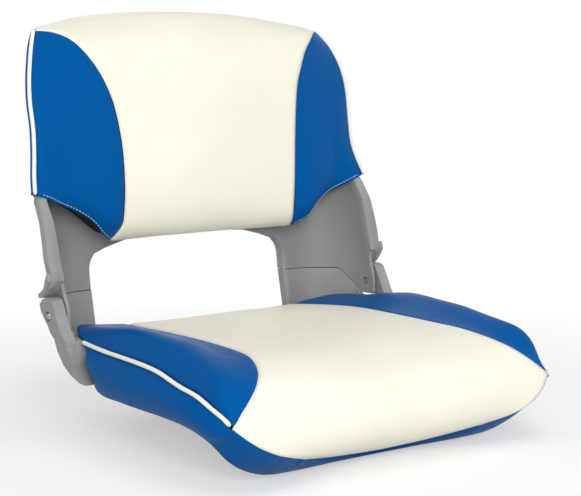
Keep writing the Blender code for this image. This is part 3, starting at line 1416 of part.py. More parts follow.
def cover_rows(centre_rows):
    """The rear cover, from its lower edge up to the crest."""
    side = smooth(back_points(BACK_SIDE_SHARES))
    hem = smooth(back_points(HEM_SHARES))
    half = PANEL_COLUMNS // 2
    crest = [point - Vector((0, SEAM_GAP, SKIN + SEAM_GAP)) for point in centre_rows[-1][half:]]
    tip = side[-1] + Vector((0, PIPING_RADIUS + PIPING_CLEARANCE, -SKIN))
    count = COVER_WALL_COLUMNS + COVER_CORNER_COLUMNS + 2
    top = [along(crest + [tip], index / count) for index in range(count + 1)]
    foot_z = OPENING_TOP_Z + OPENING_CROWN + SHELL_WALL + COVER_FOOT_GAP
    feet = [max(foot_z, level_on(hem, point.x)) for point in cover_plan(BACK_BOTTOM_Z, side)]
    feet[-2:] = [hem[-1].z, hem[-1].z]
    rows = []
    for share in COVER_ROW_SHARES[:-1]:
        row = []
        for index, (foot, end) in enumerate(zip(feet, top)):
            level = foot + (end.z - foot) * share
            row.append(cover_plan(level, side)[index])
        rows.append(flipped(row[1:])[::-1] + row)
    rows.append(flipped(top[1:])[::-1] + top)
    return rows


def shell_face(x, z):
    """How far back the shell's front face lies at a distance from the middle and a height."""
    front, wall, _ = station(z)
    start = wall * CORNER_START_SHARE
    reach = abs(x) + FOAM_CLEARANCE
    if reach >= wall:
        return front - FOAM_CLEARANCE
    centre_y = front + CORNER_LEAD
    turn = ramp(reach, start, wall)
    return centre_y + (wall_rear(z) - centre_y) * math.sqrt(1 - turn * turn) - FOAM_CLEARANCE


def back_foam_grids(centre_rows, side_rows):
    """Front and rear faces of the back's foam."""
    centre_under = inset(centre_rows, SKIN + BACK_FOAM_CLEARANCE, (0, -1, 0))
    side_under = inset(side_rows, SKIN + BACK_FOAM_CLEARANCE, (0, -1, 0))
    paths = [across_cushion(row, side) for row, side in zip(centre_under[:BACK_ROWS - 1], side_under)]
    front = [trimmed(path, BACK_FOAM_EDGE, FOAM_COLUMNS) for path in paths]
    rear = []
    for row in front:
        rear.append([Vector((point.x, max(point.y + SKIN, shell_face(point.x, point.z)), point.z))
                     for point in row])
    return front, rear


def make_back_cushion():
    """Cover panels, piping, rear cover and foam of the back."""
    centre = back_centre_rows()
    side = wing_rows()
    add_sheet("back_panel_center", centre, (0, -1, 0), CREAM, parent=HINGE)
    add_sheet("back_wing_right", side, (0, -1, 0), BLUE, parent=HINGE)
    add_sheet("back_wing_left", [flipped(row) for row in side], (0, -1, 0), BLUE, parent=HINGE)
    cord = smooth(back_points(BACK_SIDE_SHARES))
    reach = [along(cord, index / PIPING_STEPS) for index in range(PIPING_STEPS + 1)]
    add_tube("back_piping_right", reach, PIPING_RADIUS, CREAM, HINGE)
    add_tube("back_piping_left", flipped(reach), PIPING_RADIUS, CREAM, HINGE)
    add_sheet("back_rear_cover", cover_rows(centre), (0, 1, 0), BLUE, parent=HINGE)
    front, rear = back_foam_grids(centre, side)
    add_core("back_foam", front, rear, FOAM, HINGE)


make_seat_cushion()
make_back_cushion()
make_back_shell()
make_base_shell()
make_fasteners()
make_hinges()
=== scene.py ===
"""Looks of a folding boat seat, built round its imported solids."""
import json
import math

import bmesh
import bpy
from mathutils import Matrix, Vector, noise
from mathutils.geometry import interpolate_bezier


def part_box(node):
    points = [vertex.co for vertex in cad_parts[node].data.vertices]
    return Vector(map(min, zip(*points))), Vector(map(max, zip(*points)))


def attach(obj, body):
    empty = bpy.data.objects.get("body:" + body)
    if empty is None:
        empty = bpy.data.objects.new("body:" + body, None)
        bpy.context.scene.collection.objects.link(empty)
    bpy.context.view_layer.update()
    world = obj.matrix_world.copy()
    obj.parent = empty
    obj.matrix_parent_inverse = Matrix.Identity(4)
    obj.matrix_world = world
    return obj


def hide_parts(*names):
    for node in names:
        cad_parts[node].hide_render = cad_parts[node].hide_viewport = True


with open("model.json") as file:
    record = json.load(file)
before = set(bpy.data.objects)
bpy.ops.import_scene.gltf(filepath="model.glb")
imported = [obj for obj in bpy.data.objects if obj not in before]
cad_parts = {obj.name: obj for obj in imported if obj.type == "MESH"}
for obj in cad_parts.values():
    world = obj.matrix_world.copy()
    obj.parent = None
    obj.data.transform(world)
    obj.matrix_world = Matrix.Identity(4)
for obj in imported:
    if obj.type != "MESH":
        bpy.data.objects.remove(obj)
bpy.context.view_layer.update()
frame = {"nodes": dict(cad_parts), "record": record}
NODES = frame["nodes"]

# Sizes that the solids also have
SEAT_HALF_WIDTH = 0.218
SEAT_DEPTH = 0.364
SEAT_TOP_Z = 0.120
SEAT_REAR_Y = 0.174
BOLSTER_RISE = 0.020
BOXING_BULGE = 0.008
BACK_HALF_WIDTH = 0.222
BACK_REACH = 0.120
BACK_BOTTOM_Z = 0.200
BACK_HEIGHT = 0.263
WING_BULGE = 0.004
HINGE_Y = 0.150
HINGE_Z = 0.132
PIPING_RADIUS = 0.0023
SKIN = 0.0016
SEAM_GAP = 0.0003
PIPING_CLEARANCE = 0.0005

# Curves of the seat cushion: across, along from the rear, up
SEAM_SHARES = (
    (0.541, 0.005, 0.908), (0.591, 0.157, 0.950), (0.615, 0.300, 0.980), (0.615, 0.500, 0.990),
    (0.624, 0.668, 0.983), (0.651, 0.755, 0.967), (0.711, 0.838, 0.908), (0.784, 0.890, 0.825),
    (0.853, 0.915, 0.733), (0.913, 0.929, 0.650), (0.972, 0.942, 0.558),
)
SIDE_SHARES = (
    (0.983, 0.178, 0.900), (1.000, 0.300, 0.890), (1.000, 0.585, 0.858), (1.000, 0.717, 0.783),
    (0.995, 0.797, 0.742), (0.989, 0.860, 0.675), (0.979, 0.907, 0.617), (0.972, 0.942, 0.558),
)
REAR_SHARES = (
    (0.541, 0.005, 0.908), (0.633, -0.014, 0.908), (0.716, -0.016, 0.910), (0.807, -0.003, 0.918),
    (0.885, 0.044, 0.925), (0.945, 0.105, 0.918), (0.983, 0.178, 0.900),
)
BORDER_SHARES = (
    (0.972, 0.942, 0.558), (0.917, 0.958, 0.467), (0.860, 0.966, 0.390), (0.803, 0.968, 0.333),
    (0.734, 0.962, 0.275), (0.642, 0.942, 0.222), (0.550, 0.917, 0.175), (0.400, 0.872, 0.100),
    (0.250, 0.838, 0.060), (0.120, 0.832, 0.050), (0.000, 0.832, 0.050),
)
CENTRE_TOP_SHARES = (
    (0, 0.016, 0.900), (0, 0.080, 0.955), (0, 0.200, 0.985), (0, 0.450, 1.000), (0, 0.660, 1.000),
    (0, 0.770, 0.965), (0, 0.870, 0.880), (0, 0.945, 0.750), (0, 0.985, 0.580),
)
CENTRE_NOSE_SHARES = (
    (0, 0.985, 0.580), (0, 0.988, 0.430), (0, 0.968, 0.280), (0, 0.920, 0.150), (0, 0.832, 0.050),
)
BOXING_REAR_SHARES = (
    (0.000, 0.012, 0.620), (0.505, 0.000, 0.620), (0.690, -0.008, 0.700), (0.817, 0.010, 0.790),
    (0.890, 0.070, 0.800), (0.905, 0.150, 0.745),
)
BOXING_BOTTOM_SHARES = (
    (0.945, 0.190, 0.715), (0.973, 0.215, 0.640), (0.985, 0.262, 0.495), (0.990, 0.396, 0.470),
    (0.990, 0.643, 0.468), (0.986, 0.753, 0.444), (0.963, 0.830, 0.364), (0.908, 0.863, 0.226),
    (0.817, 0.863, 0.120), (0.688, 0.852, 0.042), (0.505, 0.838, 0.014), (0.250, 0.828, 0.010),
    (0.000, 0.826, 0.010),
)

# Curves of the back cushion: across, out from the hinge axis, up
BACK_SEAM_SHARES = (
    (0.577, 0.367, 0.008), (0.563, 0.285, 0.040), (0.545, 0.220, 0.087), (0.541, 0.192, 0.175),
    (0.541, 0.183, 0.262), (0.550, 0.200, 0.433), (0.577, 0.250, 0.597), (0.604, 0.292, 0.677),
    (0.644, 0.333, 0.753), (0.694, 0.392, 0.821), (0.757, 0.455, 0.878), (0.824, 0.570, 0.910),
    (0.887, 0.700, 0.918),
)
BACK_SIDE_SHARES = (
    (1.044, 0.225, 0.240), (1.026, 0.300, 0.312), (1.009, 0.350, 0.388), (1.002, 0.382, 0.502),
    (1.005, 0.424, 0.612), (0.998, 0.458, 0.692), (0.979, 0.508, 0.768), (0.946, 0.590, 0.844),
    (0.896, 0.712, 0.917),
)
HEM_SHARES = (
    (0.577, 0.367, 0.008), (0.649, 0.265, 0.046), (0.685, 0.250, 0.080), (0.721, 0.258, 0.110),
    (0.766, 0.268, 0.137), (0.806, 0.275, 0.156), (0.856, 0.275, 0.175), (0.910, 0.240, 0.194),
    (0.968, 0.204, 0.217), (1.030, 0.210, 0.236),
)
BACK_CENTRE_SHARES = (
    (0, 0.540, 0.004), (0, 0.380, 0.018), (0, 0.250, 0.070), (0, 0.175, 0.160), (0, 0.150, 0.262),
    (0, 0.142, 0.346), (0, 0.158, 0.433), (0, 0.208, 0.570), (0, 0.275, 0.677), (0, 0.367, 0.768),
    (0, 0.500, 0.856), (0, 0.650, 0.924), (0, 0.817, 0.973), (0, 0.983, 1.000),
)
BACK_CREST_END_SHARES = (0.860, 0.860, 0.918)
BACK_CREST_CENTRE_SHARES = (0, 1.100, 0.992)

# Back shell stations: up, front edge behind the axis, wall, flange
SHELL_STATION_SHARES = (
    (0.000, -0.155, 0.988, 1.013), (0.048, -0.163, 0.988, 1.014), (0.081, -0.142, 0.988, 1.014),
    (0.108, -0.108, 0.991, 1.015), (0.138, -0.083, 0.995, 1.016), (0.165, -0.063, 0.995, 1.075),
    (0.237, -0.008, 0.997, 1.081), (0.302, 0.042, 1.000, 1.076), (0.371, 0.108, 1.000, 1.071),
    (0.419, 0.222, 1.000, 1.064), (0.446, 0.275, 0.995, 1.051), (0.497, 0.345, 0.981, 1.036),
    (0.557, 0.390, 0.968, 1.020), (0.647, 0.420, 0.965, 1.012), (0.734, 0.462, 0.965, 1.016),
    (0.796, 0.505, 0.960, 1.010), (0.856, 0.560, 0.940, 0.992), (0.916, 0.650, 0.900, 0.955),
    (0.973, 0.790, 0.840, 0.893), (1.000, 0.870, 0.775, 0.835),
)
SHELL_HALF_WIDTH = 0.216
SHELL_WALL = 0.004
SHELL_HEIGHT = 0.334
EAR_TIP_Z = 0.116
OPENING_HALF_WIDTH = 0.137
OPENING_TOP_Z = 0.195
OPENING_CROWN = 0.009
CORNER_LEAD = 0.012
CORNER_START_SHARE = 0.68
WALL_BEHIND_HINGE = 0.0685
WALL_LEAN_ANGLE = 8.3
SPLIT_Z = 0.144
SPLIT_SLOPE_REAR = 0.038
SPLIT_SLOPE_FRONT = 0.006
COVER_GAP = 0.0015
COVER_FOOT_GAP = 0.003
COVER_CORNER_ANGLE = 60.0
COVER_PROUD = 0.0034
TUCK_LOW_Z = 0.256
TUCK_HIGH_Z = 0.276
COVER_WALLS = 12
COVER_CORNERS = 12
COVER_TURNS = 4
COVER_EDGES = 3
COVER_LEVELS = 44
COVER_CREST_START = 0.90
COVER_CREST_LENGTH = 0.10
COVER_CREST_BLEND = 0.6

# Small trim of the shells; the section of a split lip is given as drop and offset
SMOOTH_ANGLE = 34.0
WELD_DISTANCE = 0.00002
EAR_SWEEP = 0.0270
LIP_SECTION = (
    (-0.007, -0.0030), (-0.0012, -0.0008), (-0.0006, 0.0006), (0.004, 0.0006), (0.0045, 0.0010),
    (0.0044, 0.0014), (0.0040, 0.0017), (-0.001, 0.0014), (-0.007, -0.0016),
)
LIP_INSET = 0.0065
LIP_STEPS = 24
LIP_LEAD_STEPS = 3
LIP_PASSES = 6
POCKET_RADIUS = 0.0228
POCKET_WALL = 0.0070
POCKET_INNER_X = 0.2119
POCKET_OUTER_X = 0.2202
POCKET_START = -90.0
POCKET_END = -20.0
POCKET_STEPS = 24
WEB_SPINE = (
    (0.2262, 0.1452, 0.1800), (0.2264, 0.1440, 0.1728), (0.2276, 0.1458, 0.1672), (0.2300, 0.1505, 0.1622),
    (0.2326, 0.1562, 0.1588), (0.2340, 0.1612, 0.1562), (0.2346, 0.1650, 0.1545),
)
WEB_HALF_WIDTH = 0.0052
WEB_TAPER = 0.0030
WEB_HALF_DEPTH = 0.0016
WEB_ROUNDNESS = 0.7
WEB_STEPS = 28
WEB_SIDES = 20
WEB_LOOK = 0.02

# Hinge bolts: distances beyond the head's underside or below its top, and radii
BOLT_HEAD_HEIGHT = 0.0062
BOLT_TIP_RADIUS = 0.0016
BOLT_TIP_BEVEL = 0.0006
BOLT_SHANK_RADIUS = 0.0020
BOLT_HEAD_PROFILE = ((0, 0.0043), (0.0030, 0.0044), (0.0046, 0.0041), (0.0056, 0.0034))
BOLT_SOCKET_PROFILE = ((0, 0.0025), (0.0002, 0.0018), (0.0022, 0.0016), (0.0026, 0.0004))
BOLT_SIDES = 40
BOLT_SHARP_ANGLE = 30

# Covers: seams, stuffing, piping and stitches
SEAM_DEPTH = 0.0011
SEAM_REACH = 0.007
SEAM_POWER = 2.2
RELIEF_SIZE = 0.055
RELIEF_MARGIN = 4
CLOTH_DEPTH = 0.02
CLOTH_FRAMES = 20
CLOTH_SETTINGS = {
    "quality": 6, "mass": 0.25, "tension_stiffness": 22, "compression_stiffness": 22, "shear_stiffness": 12,
    "bending_stiffness": 3, "use_pressure": True, "vertex_group_mass": "held",
}
WELT_LAST_SHARE = 0.985
WELT_KNOTS = 200
WELT_STEPS = 150
WELT_SIDES = 14
WELT_RIPPLE = 0.05
WELT_RIPPLE_SCALE = 90
WELT_DOME_SHARES = (0.55, 0.88)
STITCH_LENGTH = 0.0030
STITCH_GAP = 0.0010
STITCH_RADIUS = 0.00042
STITCH_SIDES = 6
STITCH_PROFILE = (
    (0.0, -0.6, 0.35), (0.12, 0.1, 0.85), (0.5, 0.55, 1.0), (0.88, 0.1, 0.85), (1.0, -0.6, 0.35),
)
HEM_STITCH_RISE = 0.0030
HEM_ROWS = 12
HEM_NORMAL_ROW = 3
FOAM_SHRINK = 0.0004

# How the solids divide these surfaces, so that the finer ones here follow them
NOSE_KNOT = 6
FRONT_CORNER_KNOT = 6
CURVE_STEPS = 16
BOLSTER_LAST_SHARE = 0.990
WING_LAST_SHARE = 0.985

# Forms of the cushions
BOLSTER_FADE_WIDTH = 0.058
BOLSTER_REAR_LEVEL = 0.25
BOLSTER_CLIMB_SHARE = 0.32
BOLSTER_FALL_SHARE = 0.20
BOLSTER_SKEW = 1.73
BOXING_BULGE_REAR_Y = 0.110
BOXING_BULGE_FADE = 0.030
WING_SEAM_GAP = 0.0010
WING_BULGE_RISE = 12
BACK_CROWN_POWER = 2.3
CREST_LIFT = 0.002

# Rows and columns of the covers, and how finely the foam is cut
SEAT_ROWS = 60
SEAT_NOSE_ROWS = 16
SEAT_COLUMNS = 48
BOLSTER_COLUMNS = 26
BOXING_COUNTS = (34, 60, 44)
BOXING_BANDS = 10
BACK_ROWS = 64
CREST_ROWS = 8
BACK_COLUMNS = 52
WING_ROWS = 60
WING_COLUMNS = 30
SEAT_FOAM_VOXEL = 0.0045
BACK_FOAM_VOXEL = 0.0040

# Camera, lamps (name, place, size, power) and floor
CAMERA_PLACE = (-1.052, -1.377, 0.429)
CAMERA_AZIMUTH = -36.93
CAMERA_ELEVATION = 7.38
CAMERA_LENS = 99.14
CAMERA_SENSOR = 36.0
CAMERA_CLIP = (0.05, 50.0)
LAMP_TARGET = (0.0, 0.05, 0.2)
LAMPS = (
    ("key", (-1.3, -2.4, 1.1), 1.4, 54.0), ("left", (-2.5, -0.6, 1.0), 1.8, 4.0),
    ("fill", (2.4, -0.9, 1.2), 2.0, 7.0), ("top", (0.2, -0.3, 2.6), 2.2, 14.0),
    ("rear", (0.4, 2.6, 1.4), 2.0, 8.0),
)
WORLD_STRENGTH = 0.42
FLOOR_RADII = (0.25, 0.5, 1.0, 2.0, 4.0, 12.0)
FLOOR_SIDES = 48
FLOOR_DROP = 0.0006


# Points and curves

def seat_points(table):
    """Points of a seat cushion curve."""
    return [Vector((across * SEAT_HALF_WIDTH, SEAT_REAR_Y - along * SEAT_DEPTH, up * SEAT_TOP_Z))
            for across, along, up in table]


def back_points(table):
    """Points of a back cushion curve."""
    return [Vector((across * BACK_HALF_WIDTH, HINGE_Y + out * BACK_REACH, BACK_BOTTOM_Z + up * BACK_HEIGHT))
            for across, out, up in table]


def flipped(points):
    """The same points on the other side of the seat."""
    return [Vector((-point.x, point.y, point.z)) for point in points]


def mirror_grid(rows, lines):
    """A grid and its normals on the other side."""
    return [flipped(row) for row in rows], [flipped(line) for line in lines]


def smooth(knots):
    """Fine points along a smooth curve through the knots."""
    fine = [knots[0].copy()]
    last = len(knots) - 1
    for index in range(last):
        before = knots[max(index - 1, 0)]
        start = knots[index]
        end = knots[index + 1]
        after = knots[min(index + 2, last)]
        reach = (end - start).length / 3
        lead = start + (end - before).normalized() * reach
        trail = end - (after - start).normalized() * reach
        fine.extend(interpolate_bezier(start, lead, trail, end, CURVE_STEPS + 1)[1:])
    return fine


class Path:
    """A line of points that is read by its share of the whole length."""

    def __init__(self, points):
        self.points = points
        self.lengths = [0.0]
        for start, end in zip(points, points[1:]):
            self.lengths.append(self.lengths[-1] + (end - start).length)
        self.length = self.lengths[-1]

    def at(self, share):
        """The point at a share of the length."""
        wanted = min(max(share, 0.0), 1.0) * self.length
        low = 0
        high = len(self.lengths) - 1
        while high - low > 1:
            middle = (low + high) // 2
            if self.lengths[middle] <= wanted:
                low = middle
            else:
                high = middle
        step = self.lengths[high] - self.lengths[low]
        return self.points[low].lerp(self.points[high], (wanted - self.lengths[low]) / step)


def curve(points):
    """A path along the smooth curve through some points."""
    return Path(smooth(points))


def ramp(value, low, high):
    """Zero below the low end, one above the high end, even between."""
    return min(1.0, max(0.0, (value - low) / (high - low)))


def ease(value):
    """A share that starts and ends gently."""
    return value * value * (3 - 2 * value)


def normals_of(rows, closed=False):
    """The surface normal at each point of a grid, whose rows may run round."""
    last = len(rows[0]) - 1
    result = []
    for i in range(len(rows)):
        above = rows[max(i - 1, 0)]
        below = rows[min(i + 1, len(rows) - 1)]
        line = []
        for j in range(last + 1):
            before, after = (j - 1, (j + 1) % (last + 1)) if closed else (max(j - 1, 0), min(j + 1, last))
            line.append((rows[i][after] - rows[i][before]).cross(below[j] - above[j]).normalized())
        result.append(line)
    return result


def turned_over(lines):
    """Normals that point the other way."""
    return [[-normal for normal in line] for line in lines]


def facing(rows, toward):
    """Normals of a grid, turned to the side that shows."""
    lines = normals_of(rows)
    if lines[len(rows) // 2][len(rows[0]) // 2].dot(Vector(toward)) < 0:
        lines = turned_over(lines)
    return lines


def moved(rows, lines, depth):
    """A grid moved along its normals, by one depth or by a depth for each point."""
    result = []
    for i, (row, line) in enumerate(zip(rows, lines)):
        result.append([point + normal * (depth(i, j) if callable(depth) else depth)
                       for j, (point, normal) in enumerate(zip(row, line))])
    return result


# Materials

class Look:
    """A material with a Principled shader, built node by node on the object's own coordinates."""

    def __init__(self, name, sockets):
        self.material = bpy.data.materials.new(name)
        self.material.use_nodes = True
        self.nodes = self.material.node_tree.nodes
        self.shader = self.nodes["Principled BSDF"]
        for socket, value in sockets.items():
            self.shader.inputs[socket].default_value = value
        self.place = self.add("ShaderNodeTexCoord").outputs["Object"]

    def add(self, kind, settings=None, **inputs):
        """A node with its settings and its unlinked inputs."""
        node = self.nodes.new(kind)
        for key, value in (settings or {}).items():
            setattr(node, key, value)
        for key, value in inputs.items():
            node.inputs[key].default_value = value
        return node

    def link(self, source, target):
        """Join two sockets."""
        self.material.node_tree.links.new(source, target)

    def put(self, value, socket):
        """Give a socket a value or the output of another node."""
        if isinstance(value, bpy.types.NodeSocket):
            self.link(value, socket)
        else:
            socket.default_value = value

    def noise(self, scale, detail, roughness=0.5, distortion=0.0, place=None):
        """A noise texture."""
        node = self.add("ShaderNodeTexNoise", Scale=scale, Detail=detail, Roughness=roughness,
                        Distortion=distortion)
        self.link(self.place if place is None else place, node.inputs["Vector"])
        return node.outputs["Fac"]

    def spread(self, value, low, high, to_low, to_high):
        """A value brought from one range to another."""
        node = self.add("ShaderNodeMapRange")
        for index, number in enumerate((low, high, to_low, to_high), 1):
            node.inputs[index].default_value = number
        self.link(value, node.inputs[0])
        return node.outputs[0]

    def mix(self, factor, one, other):
        """A colour between two, each a socket or a colour."""
        node = self.add("ShaderNodeMix", {"data_type": "RGBA"})
        self.link(factor, node.inputs["Factor"])
        for socket, value in zip([socket for socket in node.inputs if socket.type == "RGBA"], (one, other)):
            self.put(value, socket)
        return [socket for socket in node.outputs if socket.type == "RGBA"][0]

    def math(self, operation, one, other):
        """A sum or product of two values, each a socket or a number."""
        node = self.add("ShaderNodeMath", {"operation": operation})
        for socket, value in zip(node.inputs, (one, other)):
            self.put(value, socket)
        return node.outputs[0]

    def bump(self, height, strength, distance, normal=None):
        """A bump of a depth in metres."""
        node = self.add("ShaderNodeBump", Strength=strength, Distance=distance)
        self.link(height, node.inputs["Height"])
        if normal is not None:
            self.link(normal, node.inputs["Normal"])
        return node.outputs["Normal"]

    def done(self, tone, normal, rough=None):
        """The material, once its shader has its colour, normal and roughness."""
        for name, value in (("Base Color", tone), ("Normal", normal), ("Roughness", rough)):
            if value is not None:
                self.link(value, self.shader.inputs[name])
        return self.material


def tinted(colour, change, blue=1.0):
    """A colour made lighter or darker."""
    return (*(min(1.0, part * change) for part in colour[:2]), min(1.0, colour[2] * change * blue), 1.0)


def vinyl(name, colour, roughness, gloss=0.07, tint=(1.0, 1.0, 1.0)):
    """Coated fabric: an embossed grain, broad tone changes, scuffs and a soft gloss."""
    look = Look(name, {"Base Color": (*colour, 1.0), "Roughness": roughness, "Specular IOR Level": gloss,
                       "Specular Tint": (*tint, 1.0)})
    broad = look.noise(7.0, 3.0, 0.45)
    fine = look.noise(90.0, 5.0, 0.6)
    tone = look.mix(look.spread(broad, 0.35, 0.65, 0.0, 1.0), tinted(colour, 0.965, 0.99),
                    tinted(colour, 1.03))
    tone = look.mix(look.spread(fine, 0.60, 0.78, 0.0, 0.25), tone, tinted(colour, 0.90, 0.97))
    rough = look.math("ADD", look.spread(broad, 0.3, 0.7, roughness - 0.05, roughness + 0.05),
                      look.spread(fine, 0.4, 0.7, -0.03, 0.05))
    cells = look.add("ShaderNodeTexVoronoi", {"feature": "SMOOTH_F1"}, Scale=620.0, Smoothness=0.45,
                     Randomness=1.0)
    warp = look.noise(260.0, 2.0)
    spot = look.add("ShaderNodeMix", {"data_type": "VECTOR"})
    spot.inputs[0].default_value = 0.003
    vectors = [socket for socket in spot.inputs if socket.type == "VECTOR"]
    turned = look.add("ShaderNodeCombineXYZ")
    for socket in turned.inputs:
        look.link(warp, socket)
    look.link(look.place, vectors[-2])
    look.link(turned.outputs[0], vectors[-1])
    look.link([socket for socket in spot.outputs if socket.type == "VECTOR"][0], cells.inputs["Vector"])
    grain = look.bump(cells.outputs["Distance"], 0.35, 0.00012)
    return look.done(tone, look.bump(look.noise(38.0, 6.0, 0.62, 0.6), 0.22, 0.0006, grain), rough)


def plastic(name, colour, roughness, grain_depth=0.00006):
    """Moulded plastic: a fine spark-eroded grain, slight flow marks and a painted highlight on its convex
    edges.
    """
    look = Look(name, {"Base Color": (*colour, 1.0), "Roughness": roughness, "Specular IOR Level": 0.25})
    broad = look.noise(9.0, 3.0)
    flow = look.noise(48.0, 5.0, 0.6, 1.2)
    tone = look.mix(look.spread(broad, 0.35, 0.65, 0.0, 1.0), tinted(colour, 0.94), tinted(colour, 1.05))
    tone = look.mix(look.spread(flow, 0.60, 0.80, 0.0, 0.35), tone, tinted(colour, 0.86))
    # Convex edges painted lighter, broken up by the flow noise: a painted edge highlight.
    pointed = look.add("ShaderNodeNewGeometry").outputs["Pointiness"]
    painted_edge_highlight = look.math("MULTIPLY", look.spread(pointed, 0.52, 0.60, 0.0, 0.55),
                     look.spread(flow, 0.35, 0.6, 0.3, 1.0))
    tone = look.mix(painted_edge_highlight, tone, tinted(colour, 1.35))
    rough = look.math("ADD", look.spread(broad, 0.3, 0.7, roughness - 0.06, roughness + 0.06),
                      look.spread(flow, 0.4, 0.7, -0.04, 0.05))
    bevel = look.add("ShaderNodeBevel", {"samples": 4}, Radius=0.0007)
    grain = look.bump(look.noise(1500.0, 2.0), 0.5, grain_depth, bevel.outputs["Normal"])
    return look.done(tone, grain, rough)


def metal(name, colour, roughness):
    """Turned or brushed metal: fine marks and a dull film in places."""
    look = Look(name, {"Base Color": (*colour, 1.0), "Roughness": roughness, "Metallic": 1.0})
    film = look.noise(160.0, 5.0, 0.6)
    marks = look.noise(1600.0, 3.0, 0.7, 2.0)
    tone = look.mix(look.spread(film, 0.40, 0.70, 0.0, 1.0), tinted(colour, 1.05), tinted(colour, 0.78, 0.97))
    rough = look.math("ADD", look.spread(film, 0.3, 0.7, roughness - 0.06, roughness + 0.12),
                      look.spread(marks, 0.3, 0.7, -0.04, 0.06))
    bevel = look.add("ShaderNodeBevel", {"samples": 4}, Radius=0.0003)
    return look.done(tone, look.bump(marks, 0.4, 0.00003, bevel.outputs["Normal"]), rough)


def foam_with_painted_shade():
    """Dark open foam, its dark colour partly its own and partly painted shade for the hollows where it shows:
    small cells with painted shade in their pits, greyed in places.
    """
    # Charcoal foam colour, kept this dark partly as painted shade for the hollow behind the hems.
    colour = (0.048, 0.048, 0.050)
    look = Look("open_foam_painted_shade", {"Base Color": (*colour, 1.0), "Roughness": 0.95, "Specular IOR Level": 0.1})
    cells = look.add("ShaderNodeTexVoronoi", Scale=900.0)
    look.link(look.place, cells.inputs["Vector"])
    depth = cells.outputs["Distance"]
    broad = look.noise(22.0, 5.0, 0.6)
    tone = look.mix(look.spread(broad, 0.4, 0.7, 0.0, 1.0), tinted(colour, 1.05), tinted(colour, 0.78, 0.85))
    # Cell pits painted darker: painted shade inside the pores.
    tone = look.mix(look.spread(depth, 0.0, 0.5, 0.5, 0.0), tone, tinted(colour, 0.5))
    return look.done(tone, look.bump(depth, 0.8, 0.0006))


def plywood():
    """Sealed plywood: long grain and a brown seal."""
    colour = (0.30, 0.18, 0.09)
    look = Look("sealed_plywood", {"Base Color": (*colour, 1.0), "Roughness": 0.6})
    stretch = look.add("ShaderNodeMapping", Scale=(1.0, 14.0, 14.0))
    look.link(look.place, stretch.inputs["Vector"])
    grain = look.noise(24.0, 6.0, 0.65, 1.5, stretch.outputs[0])
    tone = look.mix(look.spread(grain, 0.35, 0.7, 0.0, 1.0), tinted(colour, 1.25), tinted(colour, 0.6))
    return look.done(tone, look.bump(grain, 0.4, 0.0002))


CREAM = vinyl("cream_vinyl_cover", (0.865, 0.830, 0.715), 0.46)
BLUE = vinyl("blue_vinyl_cover", (0.0010, 0.086, 0.305), 0.42, 0.06, (0.15, 0.55, 1.0))
WELT = vinyl("cream_vinyl_welt", (0.885, 0.860, 0.790), 0.40)
GREY = plastic("grey_moulded_shell", (0.270, 0.270, 0.262), 0.52)
NYLON = plastic("natural_nylon", (0.62, 0.61, 0.56), 0.42, 0.00003)
STEEL = metal("stainless_hardware", (0.66, 0.65, 0.63), 0.34)
DULL_STEEL = metal("coated_nuts", (0.30, 0.30, 0.29), 0.55)
BRASS = metal("brass_inserts", (0.72, 0.52, 0.22), 0.34)
FOAM = foam_with_painted_shade()
PLY = plywood()
THREAD = vinyl("pale_thread", (0.55, 0.66, 0.80), 0.6)
SLOT_LOOKS = {
    "grey_moulded_plastic": GREY, "cream_vinyl": CREAM, "blue_vinyl": BLUE, "foam": FOAM,
    "stainless_steel": STEEL, "brass": BRASS, "nylon": NYLON, "board": PLY,
}


# Pieces

def mesh_object(name, points, faces, material):
    """A smooth mesh with one material."""
    mesh = bpy.data.meshes.new(name)
    mesh.from_pydata([tuple(point) for point in points], [], faces)
    mesh.update()
    mesh.materials.append(material)
    mesh.shade_smooth()
    item = bpy.data.objects.new(name, mesh)
    bpy.context.scene.collection.objects.link(item)
    return item


def outward(item):
    """Turn the faces of a closed mesh outward."""
    work = bmesh.new()
    work.from_mesh(item.data)
    bmesh.ops.recalc_face_normals(work, faces=work.faces)
    work.to_mesh(item.data)
    work.free()


def core_faces(count, width, closed=False):
    """Faces of a closed form between two grids of the same size, whose rows may run round."""
    faces = []
    for first in (0, count * width):
        for start in range(first, first + (count - 1) * width, width):
            for j in range(width if closed else width - 1):
                following = (j + 1) % width
                faces.append((start + j, start + following, start + width + following, start + width + j))
    if closed:
        rims = [list(range(width)), list(range((count - 1) * width, count * width))]
    else:
        edge = list(range(width))
        edge += [i * width + width - 1 for i in range(1, count)]
        edge += [(count - 1) * width + j for j in range(width - 2, -1, -1)]
        edge += [i * width for i in range(count - 2, 0, -1)]
        rims = [edge]
    for rim in rims:
        for start, end in zip(rim, rim[1:] + rim[:1]):
            faces.append((start, end, count * width + end, count * width + start))
    return faces


